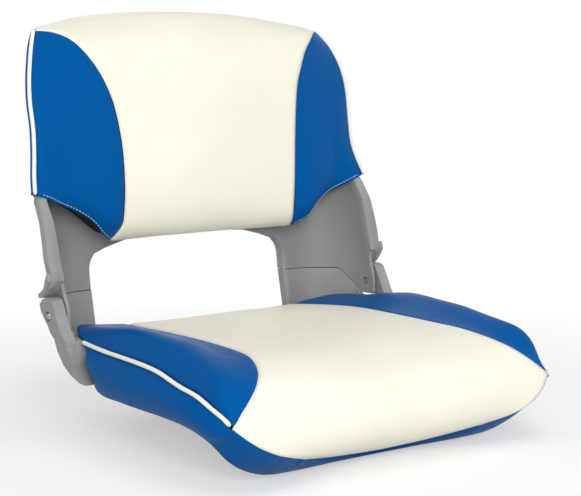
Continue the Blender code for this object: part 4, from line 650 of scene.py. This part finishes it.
def puffed(rows, lines, cap, pressure):
    """The grid after its cover has been blown out between its sewn edges, by no more than a cap."""
    count = len(rows)
    width = len(rows[0])
    points = [point for grid in (rows, moved(rows, lines, -CLOTH_DEPTH)) for row in grid for point in row]
    item = mesh_object("cloth_form", points, core_faces(count, width), CREAM)
    outward(item)
    edge = [i * width + j for i in range(count) for j in range(width)
            if i in (0, count - 1) or j in (0, width - 1)]
    held = item.vertex_groups.new(name="held")
    held.add(list(range(count * width, 2 * count * width)) + edge, 1.0, "REPLACE")
    settings = item.modifiers.new("cover", "CLOTH").settings
    for key, value in CLOTH_SETTINGS.items():
        setattr(settings, key, value)
    settings.uniform_pressure_force = pressure
    settings.effector_weights.gravity = 0
    scene = bpy.context.scene
    for number in range(1, CLOTH_FRAMES + 1):
        scene.frame_set(number)
    shape = item.evaluated_get(bpy.context.evaluated_depsgraph_get()).to_mesh()
    result = []
    for i, row in enumerate(rows):
        line = []
        for j, point in enumerate(row):
            step = shape.vertices[i * width + j].co - point
            if step.length > cap:
                step *= cap / step.length
            line.append(point + step)
        result.append(line)
    scene.frame_set(1)
    bpy.data.objects.remove(item, do_unlink=True)
    return result


def own(item, body, slot, *nodes):
    """Seat a piece on its body and hide the solids that it stands for; its slot is not used."""
    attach(item, body)
    if nodes:
        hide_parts(*nodes)
    return item


def cover(name, rows, lines, body, slot, node, closed=False):
    """A padded cover whose outer face is the grid, in place of a solid."""
    points = [point for grid in (rows, moved(rows, lines, -SKIN)) for row in grid for point in row]
    item = mesh_object(name, points, core_faces(len(rows), len(rows[0]), closed), SLOT_LOOKS[slot])
    outward(item)
    own(item, body, slot, node)


def ring(centre, one, other, size, sides):
    """Points of a circle round a centre, in the plane of two directions."""
    angles = [math.tau * turn / sides for turn in range(sides)]
    return [centre + (one * math.cos(angle) + other * math.sin(angle)) * size for angle in angles]


def tubes(name, groups, material):
    """Closed tubes in one mesh, each given by its rings of points from end to end."""
    points = []
    faces = []
    for rings in groups:
        numbers = []
        for places in rings:
            numbers.append(list(range(len(points), len(points) + len(places))))
            points += places
        for one, other in zip(numbers, numbers[1:]):
            for turn in range(len(one)):
                following = (turn + 1) % len(one)
                faces.append((one[turn], one[following], other[following], other[turn]))
        faces.append(tuple(numbers[0][::-1]))
        faces.append(tuple(numbers[-1]))
    item = mesh_object(name, points, faces, material)
    outward(item)
    return item


def welt(name, path):
    """Round piping along a path, slightly uneven, with domed ends."""
    centres = [path.at(index / WELT_STEPS) for index in range(WELT_STEPS + 1)]
    normal = Vector((0, 0, 1))
    rings = []
    for index, centre in enumerate(centres):
        ahead = (centres[min(index + 1, WELT_STEPS)] - centres[max(index - 1, 0)]).normalized()
        normal = (normal - ahead * normal.dot(ahead)).normalized()
        end = min(index, WELT_STEPS - index)
        size = PIPING_RADIUS * WELT_DOME_SHARES[end] if end < len(WELT_DOME_SHARES) else PIPING_RADIUS
        size *= 1 + WELT_RIPPLE * noise.noise(centre * WELT_RIPPLE_SCALE)
        rings.append(ring(centre, normal, ahead.cross(normal), size, WELT_SIDES))
    return tubes(name, [rings], WELT)


def stitches(name, path, out):
    """A row of thread stitches on a surface that faces outward: each one dips at both ends."""
    pitch = STITCH_LENGTH + STITCH_GAP
    groups = []
    for index in range(max(1, int(path.length / pitch))):
        start = path.at((index * pitch + STITCH_GAP / 2) / path.length)
        end = path.at((index * pitch + STITCH_GAP / 2 + STITCH_LENGTH) / path.length)
        side = (end - start).normalized().cross(out).normalized()
        groups.append([ring(start.lerp(end, share) + out * (lift * STITCH_RADIUS), out, side,
                            STITCH_RADIUS * size, STITCH_SIDES)
                       for share, lift, size in STITCH_PROFILE])
    return tubes(name, groups, THREAD)


def seam_dip(row, j, sewn):
    """How far a cover sinks into the seams at the sewn ends of its row."""
    closest = min(((row[j] - row[end]).length for end in sewn), default=SEAM_REACH)
    return -SEAM_DEPTH * max(0.0, 1 - closest / SEAM_REACH) ** SEAM_POWER


def relief(point, seed, amount):
    """Broad unevenness of a stuffed cover."""
    return amount * noise.noise(point / RELIEF_SIZE + Vector((seed, seed * 0.7, -seed)))


def dressed(rows, toward, sewn, amount, seed, cap, pressure):
    """A cover's grid, puffed, drawn into its seams and left slightly uneven, and its normals."""
    rows = puffed(rows, facing(rows, toward), cap, pressure)
    last = len(rows) - 1
    width = len(rows[0]) - 1

    def lift(i, j):
        soft = ease(min(1.0, min(i, last - i, j, width - j) / RELIEF_MARGIN))
        return seam_dip(rows[i], j, sewn) + soft * relief(rows[i][j], seed, amount)

    rows = moved(rows, facing(rows, toward), lift)
    return rows, facing(rows, toward)


# Seat cushion

def row_across(centre, side, columns, power=2.0):
    """A row of a crowned panel, from the left side through the centre to the right."""
    row = []
    for index in range(columns + 1):
        share = 2 * index / columns - 1
        y = centre.y + (side.y - centre.y) * share ** 2
        z = centre.z + (side.z - centre.z) * abs(share) ** power
        row.append(Vector((share * side.x, y, z)))
    return row


def seat_centre_rows(top_rows, nose_rows, columns):
    """The pale panel, from the rear edge over the front and under the nose."""
    seam = curve(seat_points(SEAM_SHARES))
    centre = curve(seat_points(CENTRE_TOP_SHARES))
    border = Path(smooth(seat_points(BORDER_SHARES))[:NOSE_KNOT * CURVE_STEPS + 1])
    nose = curve(seat_points(CENTRE_NOSE_SHARES))
    rows = [row_across(centre.at(i / top_rows), seam.at(i / top_rows), columns) for i in range(top_rows + 1)]
    rows += [row_across(nose.at(i / nose_rows), border.at(i / nose_rows), columns)
             for i in range(1, nose_rows + 1)]
    return rows


def bolster_level(share):
    """How high the side panel stands at a share of its length."""
    climb = min(1.0, share / BOLSTER_CLIMB_SHARE)
    level = BOLSTER_REAR_LEVEL + (1 - BOLSTER_REAR_LEVEL) * ease(climb)
    return level * math.sqrt(min(1.0, (1 - share) / BOLSTER_FALL_SHARE))


def side_rows(curves, count, columns, last_share, seam_gap):
    """A side panel on the right, between its seam and its outer side, from its shaped edge to its tip."""
    seam, side, edge = curves
    rows = []
    for i in range(count + 1):
        share = last_share * i / count
        start = seam.at(share)
        end = side.at(share)
        width = (end - start).length
        first = seam_gap / width
        last = 1 - (PIPING_RADIUS + PIPING_CLEARANCE) / width
        row = []
        for j in range(columns + 1):
            column = j / columns
            bend = edge.at(column) - edge.at(0).lerp(edge.at(1), column)
            row.append(start.lerp(end, first + (last - first) * column) + bend * (1 - share) ** 3)
        rows.append(row)
    return rows


def bolster_rows(count, columns):
    """The raised side panel on the right, from its rear edge to its tip."""
    curves = [curve(seat_points(table)) for table in (SEAM_SHARES, SIDE_SHARES, REAR_SHARES)]
    rows = side_rows(curves, count, columns, BOLSTER_LAST_SHARE, SEAM_GAP)

    def rise(i, j):
        width = (rows[i][-1] - rows[i][0]).length
        level = bolster_level(BOLSTER_LAST_SHARE * i / count) * ease(min(1.0, width / BOLSTER_FADE_WIDTH))
        return BOLSTER_RISE * level * math.sin(math.pi * (j / columns) ** BOLSTER_SKEW)

    return moved(rows, facing(rows, (0, 0, 1)), rise)


def boxing_rows(centre_rows, side_rows, top_rows, counts, bands):
    """Right half of the band round the cushion, from the middle of the rear to the middle of the front."""
    under_centre = moved(centre_rows, facing(centre_rows, (0, 0, 1)), -SKIN - SEAM_GAP)
    under_side = moved(side_rows, facing(side_rows, (0, 0, 1)), -SKIN - SEAM_GAP)
    half = len(centre_rows[0]) // 2
    rear_top = Path(under_centre[0][half:] + under_side[0][1:])
    drop = Vector((0, 0, PIPING_RADIUS + PIPING_CLEARANCE))
    side_top = Path([point - drop for point in smooth(seat_points(SIDE_SHARES))])
    beyond = Vector((0, 0, -SEAM_GAP - PIPING_CLEARANCE))
    nose_edge = [point + beyond for point in under_centre[-1]]
    front_top = Path([row[-1] for row in under_centre[top_rows:-1]] + nose_edge[half:][::-1])
    corner = len(BOXING_REAR_SHARES) - 1
    lower = smooth(seat_points(BOXING_REAR_SHARES + BOXING_BOTTOM_SHARES))
    turn = (corner + 1 + FRONT_CORNER_KNOT) * CURVE_STEPS
    bottoms = (Path(lower[:corner * CURVE_STEPS + 1]), Path(lower[corner * CURVE_STEPS:turn + 1]),
               Path(lower[turn:]))
    top = []
    bottom = []
    for upper_path, lower_path, count in zip((rear_top, side_top, front_top), bottoms, counts):
        for index in range(0 if not top else 1, count + 1):
            top.append(upper_path.at(index / count))
            bottom.append(lower_path.at(index / count))
    rows = []
    for band in range(bands + 1):
        share = band / bands
        row = []
        for index, (high, low) in enumerate(zip(top, bottom)):
            ahead = top[min(index + 1, len(top) - 1)]
            behind = top[max(index - 1, 0)]
            out = Vector((behind.y - ahead.y, ahead.x - behind.x, 0)).normalized()
            clear = ramp(BOXING_BULGE_REAR_Y - high.y, 0.0, BOXING_BULGE_FADE)
            bulge = BOXING_BULGE * math.sin(math.pi * share) * abs(out.x) * clear
            row.append(high.lerp(low, share) + out * bulge)
        rows.append(row)
    return rows


def make_seat_cushion():
    """Cover panels, band and piping of the seat."""
    flat = seat_centre_rows(SEAT_ROWS, SEAT_NOSE_ROWS, SEAT_COLUMNS)
    flat_side = bolster_rows(SEAT_ROWS, BOLSTER_COLUMNS)
    rows, lines = dressed(flat, (0, 0, 1), (0, -1), amount=0.0007, seed=3.1, cap=0.003, pressure=2.5)
    cover("seat_cover_center", rows, lines, "seat_base", "cream_vinyl", "seat_panel_center")
    rows, lines = dressed(flat_side, (0, 0, 1), (0,), amount=0.0008, seed=7.7, cap=0.0025, pressure=2.5)
    for hand, grid, normals in (("right", rows, lines), ("left", *mirror_grid(rows, lines))):
        cover("seat_cover_" + hand, grid, normals, "seat_base", "blue_vinyl", "seat_panel_" + hand)
    band = boxing_rows(flat, flat_side, SEAT_ROWS, BOXING_COUNTS, BOXING_BANDS)
    rows, lines = dressed(band, (1, 0, 0), (), amount=0.0005, seed=11.3, cap=0.002, pressure=2.0)
    make_band(rows)
    cord = curve(seat_points(SIDE_SHARES))
    reach = [cord.at(WELT_LAST_SHARE * index / WELT_KNOTS) for index in range(WELT_KNOTS + 1)]
    for hand, points in (("right", reach), ("left", flipped(reach))):
        own(welt("seat_welt_" + hand, Path(points)), "seat_base", "cream_vinyl", "seat_piping_" + hand)


def make_band(rows):
    """The closed band round the seat, from its right half."""
    full = [row + flipped(row[1:-1])[::-1] for row in rows]
    lines = normals_of(full, closed=True)
    if lines[len(full) // 2][len(rows[0]) // 2].x < 0:
        lines = turned_over(lines)
    cover("seat_cover_band", full, lines, "seat_base", "blue_vinyl", "seat_boxing", closed=True)


# Back cushion

def back_centre_rows(count, crest_rows, columns):
    """The pale panel of the back, from its lower edge up and over the crest."""
    seam = curve(back_points(BACK_SEAM_SHARES))
    centre = curve(back_points(BACK_CENTRE_SHARES))
    crest_end, crest_middle = back_points((BACK_CREST_END_SHARES, BACK_CREST_CENTRE_SHARES))
    rows = [row_across(centre.at(i / count), seam.at(i / count), columns, BACK_CROWN_POWER)
            for i in range(count + 1)]
    lift = Vector((0, 0, CREST_LIFT))
    ends = []
    for start, end in ((seam.at(1), crest_end), (centre.at(1), crest_middle)):
        ends.append(curve([start, start.lerp(end, 0.5) + lift, end]))
    rows += [row_across(ends[1].at(i / crest_rows), ends[0].at(i / crest_rows), columns, BACK_CROWN_POWER)
             for i in range(1, crest_rows + 1)]
    return rows


def wing_rows(count, columns):
    """The side panel of the back on the right, from its hem up to its tip."""
    curves = [curve(back_points(table)) for table in (BACK_SEAM_SHARES, BACK_SIDE_SHARES, HEM_SHARES)]
    rows = side_rows(curves, count, columns, WING_LAST_SHARE, WING_SEAM_GAP)
    for i, row in enumerate(rows):
        share = WING_LAST_SHARE * i / count
        rise = min(1.0, share * WING_BULGE_RISE)
        for j in range(columns + 1):
            row[j] += Vector((0, -WING_BULGE * math.sin(math.pi * (j / columns)) * (1 - share) * rise, 0))
    return rows


def make_back_cushion():
    """Cover panels, hem stitching, rear cover and piping of the back."""
    flat = back_centre_rows(BACK_ROWS, CREST_ROWS, BACK_COLUMNS)
    rows, lines = dressed(flat, (0, -1, 0), (0, -1), amount=0.0008, seed=5.3, cap=0.003, pressure=2.5)
    cover("back_cover_center", rows, lines, "backrest", "cream_vinyl", "back_panel_center")
    flat_wing = wing_rows(WING_ROWS, WING_COLUMNS)
    rows, lines = dressed(flat_wing, (0, -1, 0), (0,), amount=0.0012, seed=9.9, cap=0.0025, pressure=2.5)
    for hand, grid, normals in (("right", rows, lines), ("left", *mirror_grid(rows, lines))):
        cover("back_cover_" + hand, grid, normals, "backrest", "blue_vinyl", "back_wing_" + hand)
        make_hem(hand, grid, normals)
    make_rear_cover(flat)
    cord = curve(back_points(BACK_SIDE_SHARES)).points
    for hand, points in (("right", cord), ("left", flipped(cord))):
        own(welt("back_welt_" + hand, Path(points)), "backrest", "cream_vinyl", "back_piping_" + hand)


def make_hem(hand, rows, lines):
    """Pale topstitching a little above the wing's lower edge."""
    edge = []
    for j in range(1, len(rows[0]) - 1):
        column = Path([rows[i][j] for i in range(HEM_ROWS)])
        edge.append(column.at(HEM_STITCH_RISE / column.length))
    out = lines[HEM_NORMAL_ROW][len(lines[HEM_NORMAL_ROW]) // 2]
    own(stitches("hem_stitching_" + hand, Path(edge), out), "backrest", "cream_vinyl")


def station(z):
    """Front edge, wall and flange of the back shell at a height."""
    up = ramp(z, EAR_TIP_Z, EAR_TIP_Z + SHELL_HEIGHT)
    for low, high in zip(SHELL_STATION_SHARES, SHELL_STATION_SHARES[1:]):
        if up <= high[0]:
            share = (up - low[0]) / (high[0] - low[0])
            behind, wall, flange = (a + (b - a) * share for a, b in zip(low[1:], high[1:]))
            return HINGE_Y + behind * BACK_REACH, wall * SHELL_HALF_WIDTH, flange * SHELL_HALF_WIDTH


def wall_rear(z):
    """How far back the leaning wall stands at a height."""
    return HINGE_Y + WALL_BEHIND_HINGE + math.tan(math.radians(WALL_LEAN_ANGLE)) * (z - HINGE_Z)


def corner_point(z, angle, offset=0.0):
    """A point on the round rear corner of the shells, or a distance outside it."""
    front, wall, _ = station(z)
    start = wall * CORNER_START_SHARE
    centre_y = front + CORNER_LEAD
    return Vector((start + (wall + offset - start) * math.sin(angle),
                   centre_y + (wall_rear(z) + offset - centre_y) * math.cos(angle), z))


def level_on(path, x):
    """Height of a path, which runs outward, at a distance from the middle."""
    for start, end in zip(path, path[1:]):
        if start.x <= x <= end.x:
            return start.z + (end.z - start.z) * (x - start.x) / (end.x - start.x)
    return path[0].z if x < path[0].x else path[-1].z


def side_at(path, z):
    """The point of a path, which runs upward, at a height."""
    for start, end in zip(path, path[1:]):
        if start.z <= z <= end.z:
            return start.lerp(end, (z - start.z) / (end.z - start.z))
    return path[0] if z < path[0].z else path[-1]


def tucked(z):
    """How far out the shell's edge reaches at a height, where the covers hide it."""
    _, wall, out = station(z)
    return out + (wall + SHELL_WALL - out) * ease(ramp(z, TUCK_LOW_Z, TUCK_HIGH_Z))


def cover_point(z, side, index):
    """One point of the right half of the rear cover's outline at a height."""
    front, wall, _ = station(z)
    offset = SHELL_WALL + COVER_GAP + SKIN
    if index <= COVER_WALLS:
        return Vector((wall * CORNER_START_SHARE * index / COVER_WALLS, wall_rear(z) + offset, z))
    index -= COVER_WALLS
    if index <= COVER_CORNERS:
        return corner_point(z, math.radians(COVER_CORNER_ANGLE) * index / COVER_CORNERS, offset)
    index -= COVER_CORNERS
    edge = side_at(side, z)
    flank = tucked(z) + COVER_GAP + SKIN
    outer = max(edge.x + COVER_PROUD, flank)
    turn = Vector((flank, front + CORNER_LEAD, z))
    if index <= COVER_TURNS:
        return corner_point(z, math.radians(COVER_CORNER_ANGLE), offset).lerp(turn, index / COVER_TURNS)
    end = Vector((outer, edge.y + PIPING_RADIUS + PIPING_CLEARANCE, z))
    return turn.lerp(end, (index - COVER_TURNS) / COVER_EDGES)


def make_rear_cover(centre_rows):
    """The cover that wraps the back shell, from its lower edge up to the crest."""
    side = smooth(back_points(BACK_SIDE_SHARES))
    hem = smooth(back_points(HEM_SHARES))
    half = len(centre_rows[0]) // 2
    crest = [point - Vector((0, SEAM_GAP, SKIN + SEAM_GAP)) for point in centre_rows[-1][half:]]
    tip = side[-1] + Vector((0, PIPING_RADIUS + PIPING_CLEARANCE, -SKIN))
    path = Path(crest + [tip])
    count = COVER_WALLS + COVER_CORNERS + COVER_TURNS + COVER_EDGES
    foot_plan = [cover_point(BACK_BOTTOM_Z, side, index) for index in range(count + 1)]
    top = [path.at(index / count) for index in range(count + 1)]
    foot_z = OPENING_TOP_Z + OPENING_CROWN + SHELL_WALL + COVER_FOOT_GAP
    feet = [max(foot_z, level_on(hem, point.x)) for point in foot_plan]
    feet[-COVER_EDGES - 1:] = [hem[-1].z] * (COVER_EDGES + 1)
    rows = []
    for number in range(COVER_LEVELS):
        share = number / COVER_LEVELS
        row = [cover_point(foot + (end.z - foot) * share, side, index)
               for index, (foot, end) in enumerate(zip(feet, top))]
        blend = ease(max(0.0, (share - COVER_CREST_START) / COVER_CREST_LENGTH)) * COVER_CREST_BLEND
        row = [point.lerp(end, blend) for point, end in zip(row, top)]
        rows.append(flipped(row[1:])[::-1] + row)
    rows.append(flipped(top[1:])[::-1] + top)
    rows, lines = dressed(rows, (0, 1, 0), (), amount=0.0008, seed=13.7, cap=0.0015, pressure=1.5)
    cover("back_cover_rear", rows, lines, "backrest", "blue_vinyl", "back_rear_cover")


# Shells and hardware

def smooth_copy(node, name, body):
    """A shell with its own faces welded and its curved faces shaded smooth.

    The back shell's edge is drawn in where the covers hide it.
    """
    work = bmesh.new()
    work.from_mesh(NODES[node].data)
    bmesh.ops.remove_doubles(work, verts=work.verts, dist=WELD_DISTANCE)
    work.verts.index_update()
    points = [vertex.co.copy() for vertex in work.verts]
    faces = [tuple(vertex.index for vertex in face.verts) for face in work.faces]
    work.free()
    if node == "back_shell":
        for point in points:
            if point.z > TUCK_LOW_Z and abs(point.x) > tucked(point.z):
                point.x = math.copysign(tucked(point.z), point.x)
    item = mesh_object(name, points, faces, GREY)
    item.data.set_sharp_from_angle(angle=math.radians(SMOOTH_ANGLE))
    own(item, body, "grey_moulded_plastic", node)


def make_foam(node, name, body, voxel):
    """The foam core, as its solid with soft round edges and an open-celled skin."""
    source = NODES[node].data
    item = mesh_object(name, [vertex.co.copy() for vertex in source.vertices],
                       [tuple(face.vertices) for face in source.polygons], FOAM)
    remesh = item.modifiers.new("round", "REMESH")
    remesh.mode = "VOXEL"
    remesh.voxel_size = voxel
    soften = item.modifiers.new("soften", "SMOOTH")
    soften.factor = 0.6
    soften.iterations = 6
    shape = bpy.data.meshes.new_from_object(item.evaluated_get(bpy.context.evaluated_depsgraph_get()))
    item.modifiers.clear()
    item.data = shape
    for vertex in shape.vertices:
        vertex.co -= vertex.normal * FOAM_SHRINK
    shape.materials.clear()
    shape.materials.append(FOAM)
    shape.shade_smooth()
    own(item, body, "foam", node)


def make_hinge_bolts():
    """The bolts that the back turns on, as turned pieces with a button head and a round socket."""
    centre = Vector((0, HINGE_Y, HINGE_Z))
    angles = [math.tau * turn / BOLT_SIDES for turn in range(BOLT_SIDES)]
    for hand, sense in (("left", -1), ("right", 1)):
        low, high = sorted(abs(corner[0]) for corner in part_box("hinge_bolt_" + hand))
        under = high - BOLT_HEAD_HEIGHT
        profile = [(low, BOLT_TIP_RADIUS), (low + BOLT_TIP_BEVEL, BOLT_SHANK_RADIUS),
                   (under, BOLT_SHANK_RADIUS)]
        profile += [(under + along, radius) for along, radius in BOLT_HEAD_PROFILE]
        profile += [(high - deep, radius) for deep, radius in BOLT_SOCKET_PROFILE]
        rings = [[centre + Vector((sense * along, radius * math.cos(angle), radius * math.sin(angle)))
                  for angle in angles] for along, radius in profile]
        bolt = tubes("hinge_bolt_head_" + hand, [rings], STEEL)
        bolt.data.set_sharp_from_angle(angle=math.radians(BOLT_SHARP_ANGLE))
        own(bolt, "backrest", "stainless_steel", "hinge_bolt_" + hand)


def make_stop_webs():
    """The smooth sweep from each flange's lower end out to the stop lip that rides over the lug."""
    spine = curve([Vector(point) for point in WEB_SPINE])
    across = Vector((1, 0, 0))
    rounded = []
    for turn in range(WEB_SIDES):
        angle = math.tau * turn / WEB_SIDES
        rounded.append([math.copysign(abs(part) ** WEB_ROUNDNESS, part)
                        for part in (math.cos(angle), math.sin(angle))])
    for hand, sense in (("left", -1), ("right", 1)):
        rings = []
        for number in range(WEB_STEPS + 1):
            share = number / WEB_STEPS
            ahead = (spine.at(min(1.0, share + WEB_LOOK)) - spine.at(max(0.0, share - WEB_LOOK))).normalized()
            out = across.cross(ahead).normalized()
            if out.y > 0:
                out = -out
            half = WEB_HALF_WIDTH - WEB_TAPER * ease(share)
            places = [spine.at(share) + across * (half * one) + out * (WEB_HALF_DEPTH * other)
                      for one, other in rounded]
            rings.append([Vector((sense * point.x, point.y, point.z)) for point in places])
        own(tubes("stop_web_" + hand, [rings], GREY), "backrest", "grey_moulded_plastic")


def lip_point(drop, offset, index):
    """One point of the right split lip: its place in the section, and its step along the split line."""
    front, _, _ = station(EAR_TIP_Z)
    centre_y = front + CORNER_LEAD
    last = math.acos((HINGE_Y + EAR_SWEEP - centre_y) / (wall_rear(EAR_TIP_Z) - centre_y))
    angle = max(0.0, last * index / LIP_STEPS)
    level = SPLIT_Z
    for _ in range(LIP_PASSES):
        rise = ramp(corner_point(level, angle).y - HINGE_Y, SPLIT_SLOPE_FRONT, SPLIT_SLOPE_REAR)
        level = EAR_TIP_Z + (SPLIT_Z - EAR_TIP_Z) * rise
    point = corner_point(level + drop, angle, SHELL_WALL + offset)
    if index < 0:
        inner = OPENING_HALF_WIDTH + LIP_INSET
        start = station(level)[1] * CORNER_START_SHARE
        point.x = inner + (start - inner) * (index + LIP_LEAD_STEPS) / LIP_LEAD_STEPS
    return point


def make_split_lips():
    """Thin lips of the base that stand behind the split line and close it to the light."""
    rows = [[lip_point(drop, offset, index) for index in range(-LIP_LEAD_STEPS, LIP_STEPS + 1)]
            for drop, offset in LIP_SECTION]
    count = len(rows)
    width = len(rows[0])
    faces = []
    for i in range(count):
        for j in range(width - 1):
            here = i * width + j
            beyond = (i + 1) % count * width + j
            faces.append((here, here + 1, beyond + 1, beyond))
    faces.append(tuple(i * width for i in range(count)))
    faces.append(tuple(i * width + width - 1 for i in range(count - 1, -1, -1)))
    for hand, grid in (("left", [flipped(row) for row in rows]), ("right", rows)):
        lip = mesh_object("split_lip_" + hand, [point for row in grid for point in row], faces, GREY)
        outward(lip)
        own(lip, "seat_base", "grey_moulded_plastic")


def make_ear_pockets():
    """Curved walls of the base, under and behind the ears, between them and the lugs."""
    section = ((POCKET_INNER_X, POCKET_RADIUS), (POCKET_INNER_X, POCKET_RADIUS + POCKET_WALL),
               (POCKET_OUTER_X, POCKET_RADIUS + POCKET_WALL), (POCKET_OUTER_X, POCKET_RADIUS))
    turn = (POCKET_END - POCKET_START) / POCKET_STEPS
    angles = [math.radians(POCKET_START + turn * index) for index in range(POCKET_STEPS + 1)]
    for hand, sense in (("left", -1), ("right", 1)):
        rings = [[Vector((sense * across, HINGE_Y + radius * math.cos(angle),
                          HINGE_Z + radius * math.sin(angle))) for across, radius in section]
                 for angle in angles]
        own(tubes("ear_pocket_" + hand, [rings], GREY), "seat_base", "grey_moulded_plastic")


def dress_nodes():
    """Give every solid its detailed material."""
    slots = {part["node"]: part["material_slot"] for part in frame["record"]["subparts"]}
    for name, item in NODES.items():
        item.data.materials.clear()
        item.data.materials.append(DULL_STEEL if name.startswith("hinge_nut") else SLOT_LOOKS[slots[name]])


# Camera, lights and floor

def make_camera():
    """The photograph's view."""
    data = bpy.data.cameras.new("camera")
    data.sensor_width = CAMERA_SENSOR
    data.lens = CAMERA_LENS
    data.clip_start, data.clip_end = CAMERA_CLIP
    camera = bpy.data.objects.new("camera", data)
    bpy.context.scene.collection.objects.link(camera)
    azimuth = math.radians(CAMERA_AZIMUTH)
    elevation = math.radians(CAMERA_ELEVATION)
    back = Vector((math.sin(azimuth) * math.cos(elevation), -math.cos(azimuth) * math.cos(elevation),
                   math.sin(elevation)))
    camera.location = CAMERA_PLACE
    camera.rotation_euler = back.to_track_quat("Z", "Y").to_euler()
    bpy.context.scene.camera = camera


def make_lamps():
    """Soft lamps: a broad key from the front left, a fill from the right, and from the left, top and rear."""
    for name, place, size, power in LAMPS:
        data = bpy.data.lights.new(name, "AREA")
        data.shape = "SQUARE"
        data.size = size
        data.energy = power
        lamp = bpy.data.objects.new(name, data)
        lamp.location = place
        lamp.rotation_euler = (Vector(place) - Vector(LAMP_TARGET)).to_track_quat("Z", "Y").to_euler()
        bpy.context.scene.collection.objects.link(lamp)


def make_world():
    """White to the camera and in reflections, a softer grey as light."""
    world = bpy.data.worlds.new("studio")
    bpy.context.scene.world = world
    world.use_nodes = True
    tree = world.node_tree
    shade = tree.nodes["Background"]
    shade.inputs["Color"].default_value = (0.97, 0.98, 1.0, 1.0)
    shade.inputs["Strength"].default_value = WORLD_STRENGTH
    white = tree.nodes.new("ShaderNodeBackground")
    white.inputs["Color"].default_value = (1.0, 1.0, 1.0, 1.0)
    rays = tree.nodes.new("ShaderNodeLightPath")
    total = rays.outputs["Is Camera Ray"]
    for seen in ("Is Glossy Ray", "Is Transmission Ray"):
        node = tree.nodes.new("ShaderNodeMath")
        node.operation = "ADD"
        node.use_clamp = True
        tree.links.new(total, node.inputs[0])
        tree.links.new(rays.outputs[seen], node.inputs[1])
        total = node.outputs[0]
    mix = tree.nodes.new("ShaderNodeMixShader")
    tree.links.new(total, mix.inputs[0])
    tree.links.new(shade.outputs[0], mix.inputs[1])
    tree.links.new(white.outputs[0], mix.inputs[2])
    tree.links.new(mix.outputs[0], tree.nodes["World Output"].inputs["Surface"])


def make_floor():
    """A plain pale floor that keeps the object's shadow and turns white further out."""
    turns = [math.tau * side / FLOOR_SIDES for side in range(FLOOR_SIDES)]
    points = [(radius * math.cos(turn), radius * math.sin(turn), 0)
              for radius in FLOOR_RADII for turn in turns]
    faces = [tuple(range(FLOOR_SIDES))]
    for start in range(0, (len(FLOOR_RADII) - 1) * FLOOR_SIDES, FLOOR_SIDES):
        for side in range(FLOOR_SIDES):
            following = (side + 1) % FLOOR_SIDES
            faces.append((start + side, start + FLOOR_SIDES + side, start + FLOOR_SIDES + following,
                          start + following))
    look = Look("pale_floor", {"Roughness": 0.9, "Specular IOR Level": 0.0})
    rays = look.add("ShaderNodeLightPath").outputs
    tone = look.mix(rays["Is Camera Ray"], (0.80, 0.80, 0.80, 1.0), (1.0, 1.0, 1.0, 1.0))
    look.link(tone, look.shader.inputs["Base Color"])
    reach = look.add("ShaderNodeVectorMath", {"operation": "LENGTH"})
    look.link(look.place, reach.inputs[0])
    away = look.spread(reach.outputs["Value"], 0.40, 0.90, 0.45, 1.0)
    seen = look.math("ADD", rays["Is Camera Ray"], rays["Is Glossy Ray"])
    white = look.add("ShaderNodeEmission", Color=(1.0, 1.0, 1.0, 1.0), Strength=1.0)
    mix = look.add("ShaderNodeMixShader")
    look.link(look.math("MULTIPLY", away, seen), mix.inputs[0])
    look.link(look.shader.outputs[0], mix.inputs[1])
    look.link(white.outputs[0], mix.inputs[2])
    look.link(mix.outputs[0], look.nodes["Material Output"].inputs["Surface"])
    floor = mesh_object("floor", points, faces, look.material)
    floor.location.z = -FLOOR_DROP


make_camera()
make_world()
make_floor()
make_lamps()
dress_nodes()
make_seat_cushion()
make_back_cushion()
make_foam("seat_foam", "seat_foam_core", "seat_base", SEAT_FOAM_VOXEL)
make_foam("back_foam", "back_foam_core", "backrest", BACK_FOAM_VOXEL)
make_hinge_bolts()
make_split_lips()
make_ear_pockets()
make_stop_webs()
smooth_copy("base_shell", "base_moulding", "seat_base")
smooth_copy("back_shell", "back_moulding", "backrest")

bpy.context.scene.view_settings.view_transform = "Standard"
